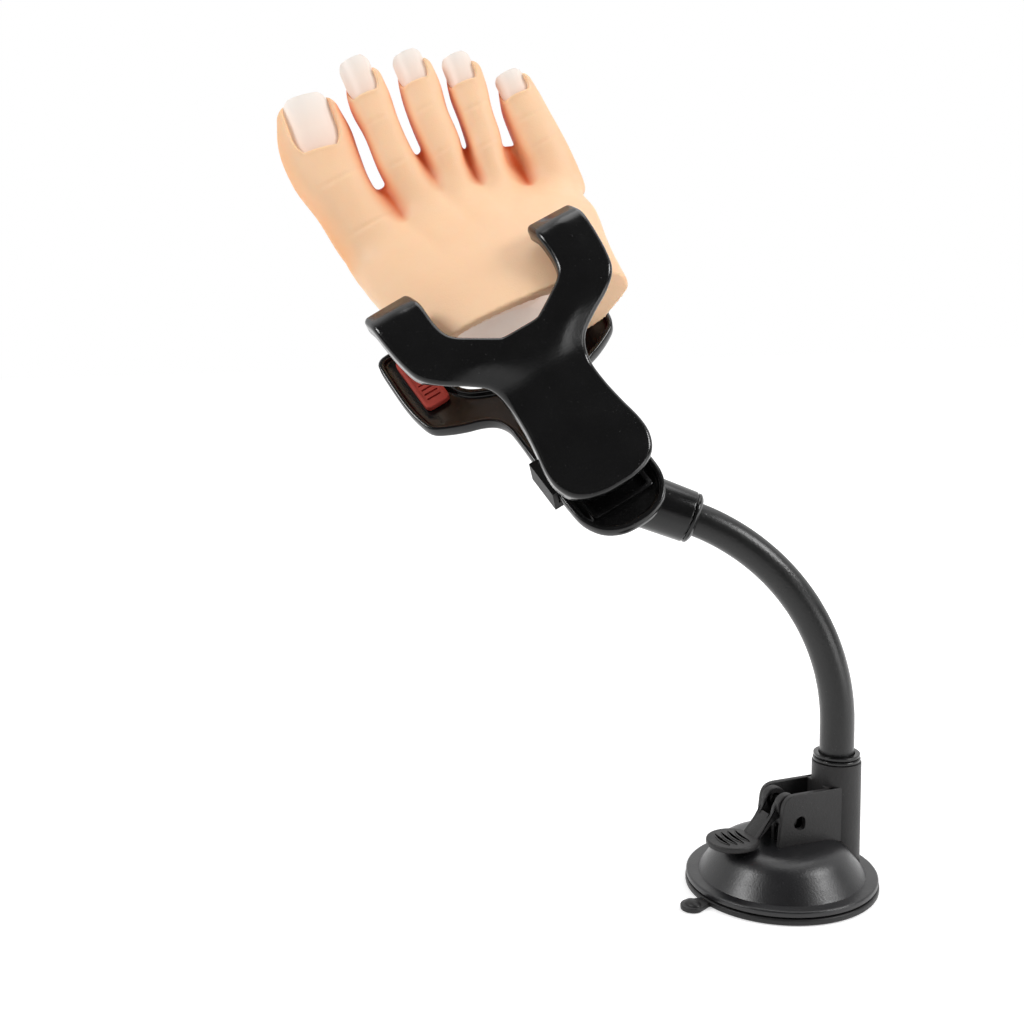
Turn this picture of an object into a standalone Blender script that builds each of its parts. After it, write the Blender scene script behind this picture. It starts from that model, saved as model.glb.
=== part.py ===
# Nail practice foot: a soft forefoot with five pull-out nails, gripped by a two-jaw
# sprung clamp on a bendable arm that stands on a lever-locked suction base.
# The origin is on the table at the centre of the suction pad, +Z is up, the lever
# points to -X and the arm's socket stands towards +X.

import math

import bmesh
import bpy
import numpy as np
from mathutils import Matrix, Vector

mm = 0.001
gap = 0.3 * mm
overrun = 2.0 * mm

# Suction pad
lip_radius = 33.5 * mm
lip_thickness = 2.2 * mm
lip_edge = 0.5 * mm
pad_floor = 1.4 * mm
pad_ring_radius = 12.6 * mm
pad_ring_height = 5.0 * mm
tab_length = 9.5 * mm
tab_half_width = 4.2 * mm
tab_bump = 1.4 * mm
tab_angle = math.radians(-171)

# Base housing
flange_radius = 33.2 * mm
flange_thickness = 2.3 * mm
dome_radius = 29.0 * mm
dome_height = 12.1 * mm
dome_wall = 2.2 * mm
dome_flat_power = 2.7
dome_side_power = 1.7
socket_radius = 8.6 * mm
socket_offset = 22.4 * mm
socket_top = 42.0 * mm
socket_bore_floor = 24.0 * mm
cheek_half_width = 8.0 * mm
cheek_thickness = 2.1 * mm
cheek_front = -6.0 * mm
cheek_lean = 2.2 * mm
cheek_top = 34.7 * mm
cheek_corner = 5.0 * mm

# Lever, its pins and the pull stem
pin_radius = 1.5 * mm
lever_pivot_x = -0.8 * mm
lever_pivot_z = 30.2 * mm
barrel_radius = 4.1 * mm
lever_half_width = 5.5 * mm
lever_slot_half_width = 2.5 * mm
strap_half_width = 4.2 * mm
strap_thickness = 2.2 * mm
thumb_radius = 9.1 * mm
thumb_thickness = 2.1 * mm
thumb_x = -19.6 * mm
thumb_top = 19.6 * mm
grip_ridges = 4
grip_pitch = 2.6 * mm
grip_half_width = 0.35 * mm
grip_height = 0.4 * mm
stem_travel = 2.5 * mm
stem_foot_radius = 8.6 * mm
stem_foot_thickness = 1.8 * mm
stem_radius = 3.6 * mm
stem_eye_radius = 2.3 * mm
stem_eye_half_width = 2.0 * mm
link_x = 1.5 * mm
link_z = 24.3 * mm
link_radius = 1.4 * mm
slot_upper_radius = 2.7 * mm
slot_lower_radius = 2.0 * mm
slot_upper_x = 2.3 * mm
slot_upper_z = 24.7 * mm
slot_lower_x = 0.7 * mm
slot_lower_z = 21.3 * mm

# Bendable arm
tube_radius = 6.0 * mm
collar_step = 1.1 * mm
collar_height = 2.6 * mm
collar_lip_radius = 8.1 * mm
collar_spigot_radius = 7.2 * mm
collar_spigot_length = 4.0 * mm
arm_turn = math.radians(156)
arm_straight_top = 55.5 * mm
arm_bend_radius = 79.0 * mm
arm_bend = math.radians(69)
joint_angle_shares = (0.02, 0.46, 0.88)
tube_in_sleeve = 8.0 * mm

# Sleeve at the arm's end and the knuckle that turns in it
sleeve_small_radius = 9.2 * mm
sleeve_large_radius = 9.7 * mm
sleeve_length = 21.0 * mm
sleeve_ring_length = 2.2 * mm
sleeve_ring_radius = 9.0 * mm
knuckle_radius = 7.0 * mm
knuckle_in_sleeve = 8.0 * mm
knuckle_reach = 37.0 * mm
disc_radius = 10.5 * mm
disc_half_thickness = 3.0 * mm

# Clamp frame: +X to the toes, +Y to the big toe's side, +Z to the front jaw
clamp_heading = math.radians(110.5)
clamp_pitch = math.radians(-39.5)
clamp_roll = math.radians(-37.1)
swivel_pin_radius = 2.5 * mm
swivel_head_radius = 4.6 * mm
swivel_head_thickness = 1.6 * mm

# Bracket under the rear jaw
bracket_bottom = 9.4 * mm
bracket_thickness = 3.0 * mm
bracket_boss_radius = 8.6 * mm
bracket_start = -7.0 * mm
bracket_end = 8.0 * mm
rail_thickness = 1.8 * mm
rail_lip = 1.0 * mm
rail_lip_thickness = 1.3 * mm

# Jaws
jaw_wall = 2.4 * mm
jaw_rim_depth = 5.0 * mm
jaw_rim_width = 2.0 * mm
jaw_round = 1.8 * mm
jaw_point_spacing = 5.4 * mm
bend_step = 0.25 * mm
rear_length = 113.5 * mm
rear_half_width = 41.0 * mm
rear_bow_start = 20.0 * mm
rear_bow_run = 12.0 * mm
rear_bow_hold = 4.0 * mm
rear_bow_angle = math.radians(10)
front_length = 100.4 * mm
front_half_width = 41.4 * mm
front_face = 9.5 * mm
front_bow_start = 18.0 * mm
front_bow_run = 12.0 * mm
front_bow_hold = 7.0 * mm
front_bow_angle = math.radians(33)
hook_start = 65.0 * mm
hook_run = 9.0 * mm
hook_angle = math.radians(-42)
jaw_open_angle = math.radians(13.5)
hinge_x = 5.0 * mm
hinge_rise = 10.6 * mm
hinge_pin_radius = 1.5 * mm
ear_radius = 4.0 * mm
ear_thickness = 2.4 * mm
ear_outer_y = 12.8 * mm
spring_wire = 0.8 * mm
spring_coil_radius = 3.2 * mm
spring_half_length = 5.0 * mm
spring_turns = 6
spring_leg = 11.5 * mm
jaw_open_more = math.radians(8)
pad_start = 51.5 * mm
pad_end = 77.0 * mm
pad_inner_y = 25.2 * mm
pad_outer_y = 35.0 * mm
pad_thickness = 2.4 * mm
pad_corner = 2.5 * mm
front_pad_start = 50.0 * mm
front_pad_end = 64.0 * mm
front_pad_inner_y = 26.2 * mm
front_pad_outer_y = 36.6 * mm
front_pad_thickness = 1.8 * mm
latch_frame_x = -15.0 * mm
latch_frame_half_length = 5.0 * mm
latch_frame_half_width = 10.0 * mm
latch_frame_wall = 1.6 * mm
latch_frame_height = 1.6 * mm

# Foot
foot_cut = 49.0 * mm
foot_skin_wall = 3.4 * mm
foot_pocket = 26.0 * mm
core_face_inset = 6.0 * mm
core_face_chamfer = 5.0 * mm
core_recess = 4.0 * mm
foot_end_shrink = 0.7
foot_end_length = 4.0 * mm
foot_sides = 36
foot_section_power = 2.4
toe_plane_x = 116.0 * mm
toe_plane_z = 36.0 * mm
toe_lift = math.radians(26)
toe_sides = 20
nail_thickness = 0.9 * mm
nail_root = 2.5 * mm
nail_depth = 1.2 * mm
nail_pitch = math.radians(4)
nail_clear_above = 5.0 * mm


def start_scene():
    for old in list(bpy.data.objects):
        bpy.data.objects.remove(old, do_unlink=True)


def material(name, colour, roughness, metallic=0.0):
    made = bpy.data.materials.get(name)
    if made is None:
        made = bpy.data.materials.new(name)
        made.use_nodes = True
        shader = made.node_tree.nodes["Principled BSDF"]
        shader.inputs["Base Color"].default_value = (*colour, 1.0)
        shader.inputs["Roughness"].default_value = roughness
        shader.inputs["Metallic"].default_value = metallic
    return made


def black_plastic():
    return material("black_plastic", (0.012, 0.012, 0.014), 0.35)


def grey_plastic():
    return material("charcoal_plastic", (0.045, 0.045, 0.047), 0.5)


def soft_black():
    return material("soft_black", (0.02, 0.02, 0.021), 0.6)


def steel():
    return material("steel", (0.55, 0.56, 0.57), 0.3, 1.0)


def red_rubber():
    return material("red_rubber", (0.42, 0.045, 0.035), 0.6)


def skin():
    return material("skin_silicone", (0.86, 0.52, 0.34), 0.45)


def core_plastic():
    return material("core_plastic", (0.72, 0.6, 0.53), 0.55)


def nail_plastic():
    return material("nail_plastic", (0.86, 0.72, 0.66), 0.3)


def frame_empty(name, matrix, parent=None):
    # An empty that carries pieces; matrix is in the parent's frame
    empty = bpy.data.objects.new(name, None)
    bpy.context.collection.objects.link(empty)
    if parent is not None:
        empty.parent = parent
    empty.matrix_local = matrix
    return empty


def solid(name, points, faces, finish, carrier=None, helper=False):
    # One closed mesh from points and faces, outward normals, round faces smooth
    work = bmesh.new()
    corners = [work.verts.new(point) for point in points]
    for face in faces:
        work.faces.new([corners[i] for i in face])
    bmesh.ops.recalc_face_normals(work, faces=work.faces)
    mesh = bpy.data.meshes.new(name)
    work.to_mesh(mesh)
    work.free()
    mesh.shade_smooth()
    mesh.set_sharp_from_angle(angle=math.radians(32))
    made = bpy.data.objects.new(name, mesh)
    bpy.context.collection.objects.link(made)
    if finish is not None:
        mesh.materials.append(finish)
    if carrier is not None:
        made.parent = carrier
    if helper:
        made.hide_render = True
        made.display_type = "WIRE"
    return made


def boolean(body, other, operation):
    change = body.modifiers.new(other.name, "BOOLEAN")
    change.operation = operation
    change.object = other
    change.solver = "EXACT"


def fuse(body, *others):
    for other in others:
        boolean(body, other, "UNION")


def carve(body, *others):
    for other in others:
        boolean(body, other, "DIFFERENCE")


def strip_faces(first, second):
    # Faces between two rings of point numbers; a ring of one point is a pole
    count = max(len(first), len(second))
    faces = []
    for i in range(count):
        j = (i + 1) % count
        if len(first) == 1:
            faces.append((first[0], second[j], second[i]))
        elif len(second) == 1:
            faces.append((first[i], first[j], second[0]))
        else:
            faces.append((first[i], first[j], second[j], second[i]))
    return faces


def loft(rings, closed=False):
    # Points and faces of a skin over rings of points, its open ends capped
    points, numbers = [], []
    for ring in rings:
        numbers.append(list(range(len(points), len(points) + len(ring))))
        points.extend(ring)
    faces = []
    pairs = list(zip(numbers, numbers[1:]))
    if closed:
        pairs.append((numbers[-1], numbers[0]))
    for first, second in pairs:
        faces.extend(strip_faces(first, second))
    if not closed:
        for ring in (numbers[0], numbers[-1]):
            if len(ring) > 2:
                faces.append(tuple(ring))
    return points, faces


def turned_rings(profile, sides):
    # A ring round Z for each (radius, height); a radius of zero gives a pole
    rings = []
    for radius, height in profile:
        if radius == 0:
            rings.append([(0, 0, height)])
            continue
        turn = [2 * math.pi * i / sides for i in range(sides)]
        rings.append([(radius * math.cos(a), radius * math.sin(a), height) for a in turn])
    return rings


def turned(name, profile, finish, carrier=None, sides=36, helper=False):
    # A profile from pole to pole is a plug; one without poles is a closed ring
    closed = profile[0][0] != 0
    points, faces = loft(turned_rings(profile, sides), closed)
    return solid(name, points, faces, finish, carrier, helper)


def cylinder(name, radius, low, high, carrier=None, finish=None, sides=28):
    profile = [(0, low), (radius, low), (radius, high), (0, high)]
    return turned(name, profile, finish, carrier, sides, helper=finish is None)


def prism(name, outline, low, high, axis="Z", carrier=None, finish=None):
    # An outline pushed from low to high along an axis of the carrier's frame
    def place(u, v, w):
        if axis == "Y":
            return (u, w, v)
        if axis == "X":
            return (w, u, v)
        return (u, v, w)

    rings = [[place(u, v, w) for u, v in outline] for w in (low, high)]
    points, faces = loft(rings)
    return solid(name, points, faces, finish, carrier, helper=finish is None)


def box(name, low, high, carrier=None, finish=None):
    outline = [(low[0], low[1]), (high[0], low[1]), (high[0], high[1]), (low[0], high[1])]
    return prism(name, outline, low[2], high[2], "Z", carrier, finish)


def rounded_box_outline(x0, x1, y0, y1, radius, steps=3):
    outline = []
    corners = ((x1, y1, 0), (x0, y1, 1), (x0, y0, 2), (x1, y0, 3))
    for x, y, quarter in corners:
        cx = x - radius if x == x1 else x + radius
        cy = y - radius if y == y1 else y + radius
        for i in range(steps + 1):
            angle = math.pi / 2 * (quarter + i / steps)
            outline.append((cx + radius * math.cos(angle), cy + radius * math.sin(angle)))
    return outline


def along_y(profile_y, name, radius, x, z, carrier, finish=None, sides=20):
    # A round bar along Y through (x, z), from the first to the second of profile_y
    low, high = profile_y
    turn = [2 * math.pi * i / sides for i in range(sides)]
    outline = [(x + radius * math.cos(a), z + radius * math.sin(a)) for a in turn]
    return prism(name, outline, low, high, "Y", carrier, finish)


def hull_of_circles(first, second, steps=10):
    # Outline round two circles (x, z, radius), as a belt round two wheels
    x1, z1, r1 = first
    x2, z2, r2 = second
    line = math.atan2(z2 - z1, x2 - x1)
    lean = math.acos((r1 - r2) / math.hypot(x2 - x1, z2 - z1))
    outline = []
    for i in range(steps + 1):
        angle = line + lean + (2 * math.pi - 2 * lean) * i / steps
        outline.append((x1 + r1 * math.cos(angle), z1 + r1 * math.sin(angle)))
    for i in range(steps + 1):
        angle = line - lean + 2 * lean * i / steps
        outline.append((x2 + r2 * math.cos(angle), z2 + r2 * math.sin(angle)))
    return outline


# Base

flange_bottom = lip_thickness + gap
flange_top = flange_bottom + flange_thickness
dome_top = flange_top + dome_height


def dome_profile_height(radius, outer, height):
    # Height above the flange of a dome with a steep side and a flat top
    share = min(radius / outer, 1.0)
    return height * (1 - share**dome_flat_power) ** (1 / dome_side_power)


def suction_pad(base):
    recess = stem_foot_radius + gap + gap
    profile = [
        (0, 0), (lip_radius - lip_edge, 0), (lip_radius, lip_edge),
        (lip_radius, lip_thickness - lip_edge), (lip_radius - lip_edge, lip_thickness),
        (pad_ring_radius, lip_thickness), (pad_ring_radius, pad_ring_height),
        (recess, pad_ring_height), (recess, pad_floor), (0, pad_floor),
    ]
    pad = turned("suction_pad", profile, soft_black(), base, sides=48)
    tab_frame = frame_empty("tab_frame", Matrix.Rotation(tab_angle, 4, "Z"), base)
    reach = lip_radius + tab_length
    start = lip_radius - overrun
    neck = tab_half_width * 0.62
    outline = [(start, -neck), (lip_radius + lip_edge, -neck)]
    for i in range(9):
        angle = -math.pi / 2 + math.pi * i / 8
        x = reach - tab_half_width + tab_half_width * math.cos(angle)
        outline.append((x, tab_half_width * math.sin(angle)))
    outline += [(lip_radius + lip_edge, neck), (start, neck)]
    tab = prism("tab_plate", outline, 0, lip_thickness - lip_edge, "Z", tab_frame)
    bump_x = reach - tab_half_width
    rings = []
    for share in (0, 0.45, 0.8, 1):
        half = tab_half_width * 0.62 * math.sqrt(1 - share**2)
        height = lip_thickness - lip_edge - gap + (tab_bump + gap) * share
        if half == 0:
            rings.append([(bump_x, 0, height)])
            continue
        turn = [2 * math.pi * i / 14 for i in range(14)]
        rings.append([(bump_x + half * math.cos(a), half * 1.35 * math.sin(a), height) for a in turn])
    points, faces = loft(rings)
    bump = solid("tab_lens", points, faces, None, tab_frame, helper=True)
    fuse(pad, tab, bump)
    return pad


def cheek_outline():
    # Side view of the lever bracket, its front top corner rounded
    low = dome_top - dome_wall + gap
    high = cheek_top
    front_low = cheek_front
    front_high = cheek_front + cheek_lean
    outline = [(socket_offset, low), (socket_offset, high)]
    cx, cz = front_high + cheek_corner, high - cheek_corner
    for i in range(6):
        angle = math.pi / 2 + math.pi / 2 * i / 5
        outline.append((cx + cheek_corner * math.cos(angle), cz + cheek_corner * math.sin(angle)))
    outline.append((front_low, low))
    return outline


def base_housing(base):
    outer = [(dome_radius, flange_top)]
    inner = []
    for i in range(1, 9):
        radius = dome_radius * (1 - (i / 9) ** 1.5 * 0.93)
        height = flange_top + dome_profile_height(radius, dome_radius, dome_height)
        outer.append((radius, height))
    inner_radius = dome_radius - dome_wall
    inner_height = dome_height - dome_wall
    for i in range(4, 0, -1):
        radius = inner_radius * (1 - (i / 5) ** 1.5 * 0.9)
        height = flange_top + dome_profile_height(radius, inner_radius, inner_height)
        inner.append((radius, height))
    edge = flange_thickness / 3
    profile = [(0, flange_top + inner_height), *inner, (inner_radius, flange_bottom)]
    profile += [(flange_radius, flange_bottom), (flange_radius, flange_top - edge)]
    profile += [(flange_radius - edge, flange_top), *outer, (0, dome_top)]
    housing = turned("base_housing", profile, grey_plastic(), base, sides=48)
    socket_frame = frame_empty("socket_frame", Matrix.Translation((socket_offset, 0, 0)), base)
    boss = cylinder("arm_socket_boss", socket_radius, flange_bottom + gap, socket_top, socket_frame)
    block = prism("cheek_block", cheek_outline(), -cheek_half_width, cheek_half_width, "Y", base)
    inside = cheek_half_width - cheek_thickness
    channel = box(
        "channel_cut",
        (cheek_front - overrun, -inside, dome_top + gap),
        (socket_offset - tube_radius, inside, cheek_top + overrun),
        base,
    )
    through = cheek_half_width + overrun
    slot = prism(
        "link_slot",
        hull_of_circles(
            (slot_upper_x, slot_upper_z, slot_upper_radius), (slot_lower_x, slot_lower_z, slot_lower_radius)
        ),
        -through, through, "Y", base,
    )
    pivot = along_y(
        (-through, through), "pivot_hole", pin_radius + gap, lever_pivot_x, lever_pivot_z, base
    )
    carve(block, channel, slot, pivot)
    fuse(housing, boss, block)
    narrow = tube_radius + gap
    wide = collar_spigot_radius + gap
    step = socket_top - collar_spigot_length - gap
    above = socket_top + overrun
    profile = [
        (0, socket_bore_floor), (narrow, socket_bore_floor), (narrow, step), (wide, step),
        (wide, above), (0, above),
    ]
    bore = turned("socket_bore", profile, None, socket_frame, 28, helper=True)
    stem_hole = cylinder(
        "stem_hole", stem_radius + gap, dome_top - dome_wall - overrun, dome_top + overrun, base
    )
    carve(housing, bore, stem_hole)
    return housing


def lever_and_pins(base):
    along_y(
        (-cheek_half_width, cheek_half_width), "lever_pin", pin_radius,
        lever_pivot_x, lever_pivot_z, base, steel(),
    )
    pivot = frame_empty(
        "lever_pivot", Matrix.Translation((lever_pivot_x, 0, lever_pivot_z)), base
    )
    head = along_y(
        (-lever_half_width, lever_half_width), "lock_lever", barrel_radius, 0, 0, pivot, grey_plastic(), 28
    )
    # The strap falls from the barrel to the thumb disc
    tip_x = thumb_x - lever_pivot_x
    tip_z = thumb_top - lever_pivot_z
    top = [(-barrel_radius * 0.35, barrel_radius * 0.9)]
    top.append((-barrel_radius * 1.2, -barrel_radius * 0.1))
    top.append((tip_x + thumb_radius * 0.75, tip_z))
    fall = math.atan2(top[1][1] - top[2][1], top[1][0] - top[2][0])
    drop_x = strap_thickness * math.sin(fall)
    drop_z = strap_thickness * math.cos(fall)
    lower = [(tip_x + thumb_radius * 0.75, tip_z - thumb_thickness * 0.9)]
    lower.append((top[1][0] + drop_x, top[1][1] - drop_z - barrel_radius * 0.25))
    lower.append((0, -barrel_radius * 0.9))
    strap = prism("lever_strap", top + lower, -strap_half_width, strap_half_width, "Y", pivot)
    disc_frame = frame_empty("thumb_frame", Matrix.Translation((tip_x, 0, tip_z)), pivot)
    edge = thumb_thickness / 4
    profile = [
        (0, -thumb_thickness), (thumb_radius - edge, -thumb_thickness), (thumb_radius, edge - thumb_thickness),
        (thumb_radius, -edge), (thumb_radius - edge, 0), (0, 0),
    ]
    disc = turned("thumb_disc", profile, None, disc_frame, 32, helper=True)
    fuse(head, strap, disc)
    for i in range(grip_ridges):
        x = (i - (grip_ridges - 1) / 2) * grip_pitch
        reach = math.sqrt(thumb_radius**2 - x**2) * 0.62
        outline = []
        for side in (1, -1):
            for j in range(7):
                y = side * reach * (1 - j / 3)
                bulge = grip_pitch * 0.5 * (1 - (y / reach) ** 2)
                outline.append((x - bulge + side * grip_half_width, y))
        ridge = prism(f"grip_ridge_{i}", outline, -edge, grip_height, "Z", disc_frame)
        fuse(head, ridge)
    slot = box(
        "lever_slot",
        (-barrel_radius - overrun, -lever_slot_half_width, -barrel_radius - overrun),
        (barrel_radius + overrun, lever_slot_half_width, barrel_radius + overrun),
        pivot,
    )
    hole = along_y(
        (-lever_half_width - overrun, lever_half_width + overrun), "lever_bore", pin_radius + gap, 0, 0, pivot
    )
    carve(head, slot, hole)
    stem_frame = frame_empty("stem_frame", Matrix.Identity(4), base)
    foot_low = pad_floor + stem_travel + gap
    foot_high = foot_low + stem_foot_thickness
    profile = [
        (0, foot_low), (stem_foot_radius, foot_low), (stem_foot_radius, foot_high),
        (stem_radius, foot_high), (stem_radius, link_z - stem_eye_radius), (0, link_z - stem_eye_radius),
    ]
    stem = turned("pull_stem", profile, steel(), stem_frame, 28)
    eye = prism(
        "stem_eye",
        hull_of_circles(
            (link_x, link_z, stem_eye_radius), (0, link_z - 3 * stem_eye_radius, stem_eye_radius * 0.95)
        ),
        -stem_eye_half_width, stem_eye_half_width, "Y", stem_frame,
    )
    fuse(stem, eye)
    hole = along_y(
        (-stem_radius - overrun, stem_radius + overrun), "stem_bore", link_radius + gap, link_x, link_z, stem_frame
    )
    carve(stem, hole)
    reach = cheek_half_width - cheek_thickness / 2
    along_y((-reach, reach), "link_pin", link_radius, link_x, link_z, stem_frame, steel(), 16)


# Arm

arm_root = Vector((socket_offset, 0, 0))
arm_out = Vector((math.cos(arm_turn), math.sin(arm_turn), 0))


def arm_point(angle):
    # Centreline of the curved stretch, angle 0 at its foot
    out = arm_bend_radius * (1 - math.cos(angle))
    rise = arm_bend_radius * math.sin(angle)
    return arm_root + arm_out * out + Vector((0, 0, arm_straight_top + rise))


def arm_tangent(angle):
    return arm_out * math.sin(angle) + Vector((0, 0, math.cos(angle)))


def arm_frame(angle):
    # Local Z along the tube, local Y level and square to the arm's plane
    along = arm_tangent(angle)
    side = Vector((0, 0, 1)).cross(arm_out)
    across = side.cross(along)
    turn = Matrix((across, side, along)).transposed().to_4x4()
    return Matrix.Translation(arm_point(angle)) @ turn


def tube_ring(matrix, radius, sides=24):
    turn = [2 * math.pi * i / sides for i in range(sides)]
    return [matrix @ Vector((radius * math.cos(a), radius * math.sin(a), 0)) for a in turn]


def arm_segment(name, start, end, cup, ball, base):
    # A stretch of tube with a cup at its foot and a ball at its head
    carrier = frame_empty(f"{name}_frame", arm_frame(max(start, 0)), base)
    to_local = arm_frame(max(start, 0)).inverted()
    rings = []
    cup_radius = tube_radius + gap
    if cup:
        foot = to_local @ arm_frame(start)
        rim = math.asin(tube_radius / cup_radius)
        for step in range(6):
            angle = rim * step / 5
            height = Matrix.Translation((0, 0, cup_radius * math.cos(angle)))
            if step == 0:
                rings.append([(foot @ height).translation])
            else:
                rings.append(tube_ring(foot @ height, cup_radius * math.sin(angle)))
        first = start + cup_radius / arm_bend_radius
    else:
        drop = Matrix.Translation((0, 0, socket_bore_floor + gap - arm_straight_top))
        low = to_local @ arm_frame(0) @ drop
        rings.append(tube_ring(low, tube_radius))
        first = 0
    last = end
    steps = max(2, round((last - first) / math.radians(7)))
    for i in range(steps + 1):
        angle = first + (last - first) * i / steps
        rings.append(tube_ring(to_local @ arm_frame(angle), tube_radius))
    head = to_local @ arm_frame(end)
    if ball:
        for step in range(1, 6):
            angle = math.pi / 2 * (1 - step / 5)
            height = Matrix.Translation((0, 0, tube_radius * math.sin(math.pi / 2 - angle)))
            if step == 5:
                rings.append([(head @ height).translation])
            else:
                rings.append(tube_ring(head @ height, tube_radius * math.cos(math.pi / 2 - angle)))
    else:
        rings.append(tube_ring(head @ Matrix.Translation((0, 0, tube_in_sleeve)), tube_radius))
    points, faces = loft(rings)
    return solid(name, points, faces, soft_black(), carrier)


def arm_pieces(base):
    top_frame = frame_empty("collar_frame", Matrix.Translation((socket_offset, 0, socket_top + gap)), base)
    bore = tube_radius + gap
    middle = collar_height / 2
    profile = [
        (bore, -collar_spigot_length), (collar_spigot_radius, -collar_spigot_length),
        (collar_spigot_radius, 0), (socket_radius - gap, 0), (socket_radius - gap, middle - gap),
        (socket_radius - collar_step, middle), (collar_lip_radius, middle + gap),
        (collar_lip_radius, collar_height - gap), (collar_lip_radius - gap, collar_height),
        (bore, collar_height),
    ]
    turned("arm_collar", profile, black_plastic(), top_frame, 30)
    joints = [arm_bend * share for share in joint_angle_shares]
    arm_segment("arm_root", 0, joints[0], False, True, base)
    arm_segment("arm_lower", joints[0], joints[1], True, True, base)
    arm_segment("arm_middle", joints[1], joints[2], True, True, base)
    arm_segment("arm_upper", joints[2], arm_bend, True, False, base)


def sleeve_pieces(base):
    end = frame_empty("sleeve_frame", arm_frame(arm_bend), base)
    bore = tube_radius + gap
    edge = sleeve_ring_length / 3
    ring_start = -sleeve_ring_length / 2
    ring_end = ring_start + sleeve_ring_length
    profile = [
        (bore, ring_start), (sleeve_ring_radius - 2 * edge, ring_start), (sleeve_ring_radius - edge / 2, ring_start + edge),
        (sleeve_ring_radius, ring_start + 2 * edge), (sleeve_ring_radius, ring_end), (bore, ring_end),
    ]
    turned("sleeve_ring", profile, black_plastic(), end, 36)
    start = ring_end + gap
    finish = start + sleeve_length
    web_low = tube_in_sleeve + gap
    web_high = finish - knuckle_in_sleeve - gap
    socket = knuckle_radius + gap
    profile = [
        (0, web_low), (bore, web_low), (bore, start), (sleeve_small_radius - gap, start),
        (sleeve_small_radius, start + gap), (sleeve_large_radius, finish - gap),
        (sleeve_large_radius - gap, finish), (socket, finish), (socket, web_high), (0, web_high),
    ]
    turned("arm_sleeve", profile, black_plastic(), end, 36)
    return finish


def clamp_matrix():
    turn = Matrix.Rotation(clamp_heading, 4, "Z") @ Matrix.Rotation(clamp_pitch, 4, "Y")
    turn = turn @ Matrix.Rotation(clamp_roll, 4, "X")
    centre = arm_point(arm_bend) + arm_tangent(arm_bend) * knuckle_reach
    return Matrix.Translation(centre) @ turn


def knuckle(base, clamp, sleeve_end):
    end = frame_empty("knuckle_frame", arm_frame(arm_bend), base)
    low = sleeve_end - knuckle_in_sleeve
    made = cylinder("swivel_knuckle", knuckle_radius, low, knuckle_reach, end, black_plastic())
    disc = cylinder("knuckle_disc", disc_radius, -disc_half_thickness - gap, disc_half_thickness + gap, clamp, sides=32)
    reach = disc_radius + gap
    trims = []
    for name, low, high in (
        ("knuckle_top_trim", disc_half_thickness, disc_radius),
        ("knuckle_under_trim", -disc_radius, -disc_half_thickness),
    ):
        trims.append(box(name, (-reach, -reach, low), (reach, reach, high), clamp))
    hole = cylinder(
        "knuckle_bore", swivel_pin_radius + gap, -disc_radius, disc_radius, clamp, sides=20
    )
    fuse(made, disc)
    carve(made, *trims, hole)
    return made


# Clamp

rear_back = bracket_bottom + bracket_thickness + gap
hinge_z = rear_back + hinge_rise
rear_outline_shares = (
    (-0.275, 0), (-0.268, 0.16), (-0.236, 0.3), (-0.18, 0.385), (-0.11, 0.405), (0, 0.405),
    (0.09, 0.4), (0.184, 0.395), (0.233, 0.405), (0.273, 0.459), (0.3, 0.556), (0.32, 0.683),
    (0.349, 0.824), (0.383, 0.934), (0.44, 0.98), (0.511, 1), (0.61, 0.998), (0.692, 0.985),
    (0.717, 0.945), (0.725, 0.87), (0.725, 0.66), (0.715, 0.58), (0.68, 0.552), (0.56, 0.547),
    (0.505, 0.535), (0.476, 0.51), (0.452, 0.465), (0.432, 0.395), (0.395, 0.21), (0.383, 0.145),
    (0.3815, 0),
)
front_outline_shares = (
    (-0.191, 0), (-0.186, 0.12), (-0.159, 0.249), (-0.133, 0.362), (-0.086, 0.435), (-0.027, 0.44),
    (0.059, 0.405), (0.146, 0.386), (0.234, 0.388), (0.301, 0.449), (0.345, 0.58), (0.395, 0.773),
    (0.449, 0.899), (0.518, 0.955), (0.632, 0.99), (0.77, 1), (0.794, 0.985), (0.803, 0.945),
    (0.809, 0.66), (0.808, 0.6), (0.79, 0.567), (0.71, 0.557), (0.627, 0.557), (0.58, 0.546),
    (0.546, 0.52), (0.521, 0.47), (0.501, 0.4), (0.451, 0.215), (0.4385, 0.155), (0.437, 0),
)


def smooth_loop(half, length, width, spacing):
    # A closed curve through the half outline and its mirror image, evenly spaced
    first = [(x * length, y * width) for x, y in half]
    points = np.array(first + [(x, -y) for x, y in first[-2:0:-1]])
    count = len(points)
    dense = []
    for i in range(count):
        a, b, c, d = (points[(i + k) % count] for k in (-1, 0, 1, 2))
        for t in np.arange(0, 1, 0.125):
            dense.append(
                0.5 * (2 * b + (c - a) * t + (2 * a - 5 * b + 4 * c - d) * t**2 + (3 * b - a - 3 * c + d) * t**3)
            )
    dense = np.array(dense)
    reach = np.concatenate([[0], np.cumsum(np.hypot(*(np.roll(dense, -1, 0) - dense).T))])
    total = reach[-1]
    number = 4 * round(total / spacing / 4)
    want = np.arange(number) * total / number
    closed = np.vstack([dense, dense[:1]])
    return np.stack([np.interp(want, reach, closed[:, k]) for k in (0, 1)], axis=1)


def inset_loop(loop, distance):
    # The loop moved inward along its corner normals
    ahead = np.roll(loop, -1, 0) - loop
    ahead /= np.hypot(*ahead.T)[:, None]
    behind = np.roll(ahead, 1, 0)
    along = ahead + behind
    along /= np.hypot(*along.T)[:, None]
    normal = np.stack([-along[:, 1], along[:, 0]], axis=1)
    area = np.sum(loop[:, 0] * np.roll(loop[:, 1], -1) - np.roll(loop[:, 0], -1) * loop[:, 1])
    return loop + normal * distance * math.copysign(1, area)


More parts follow.
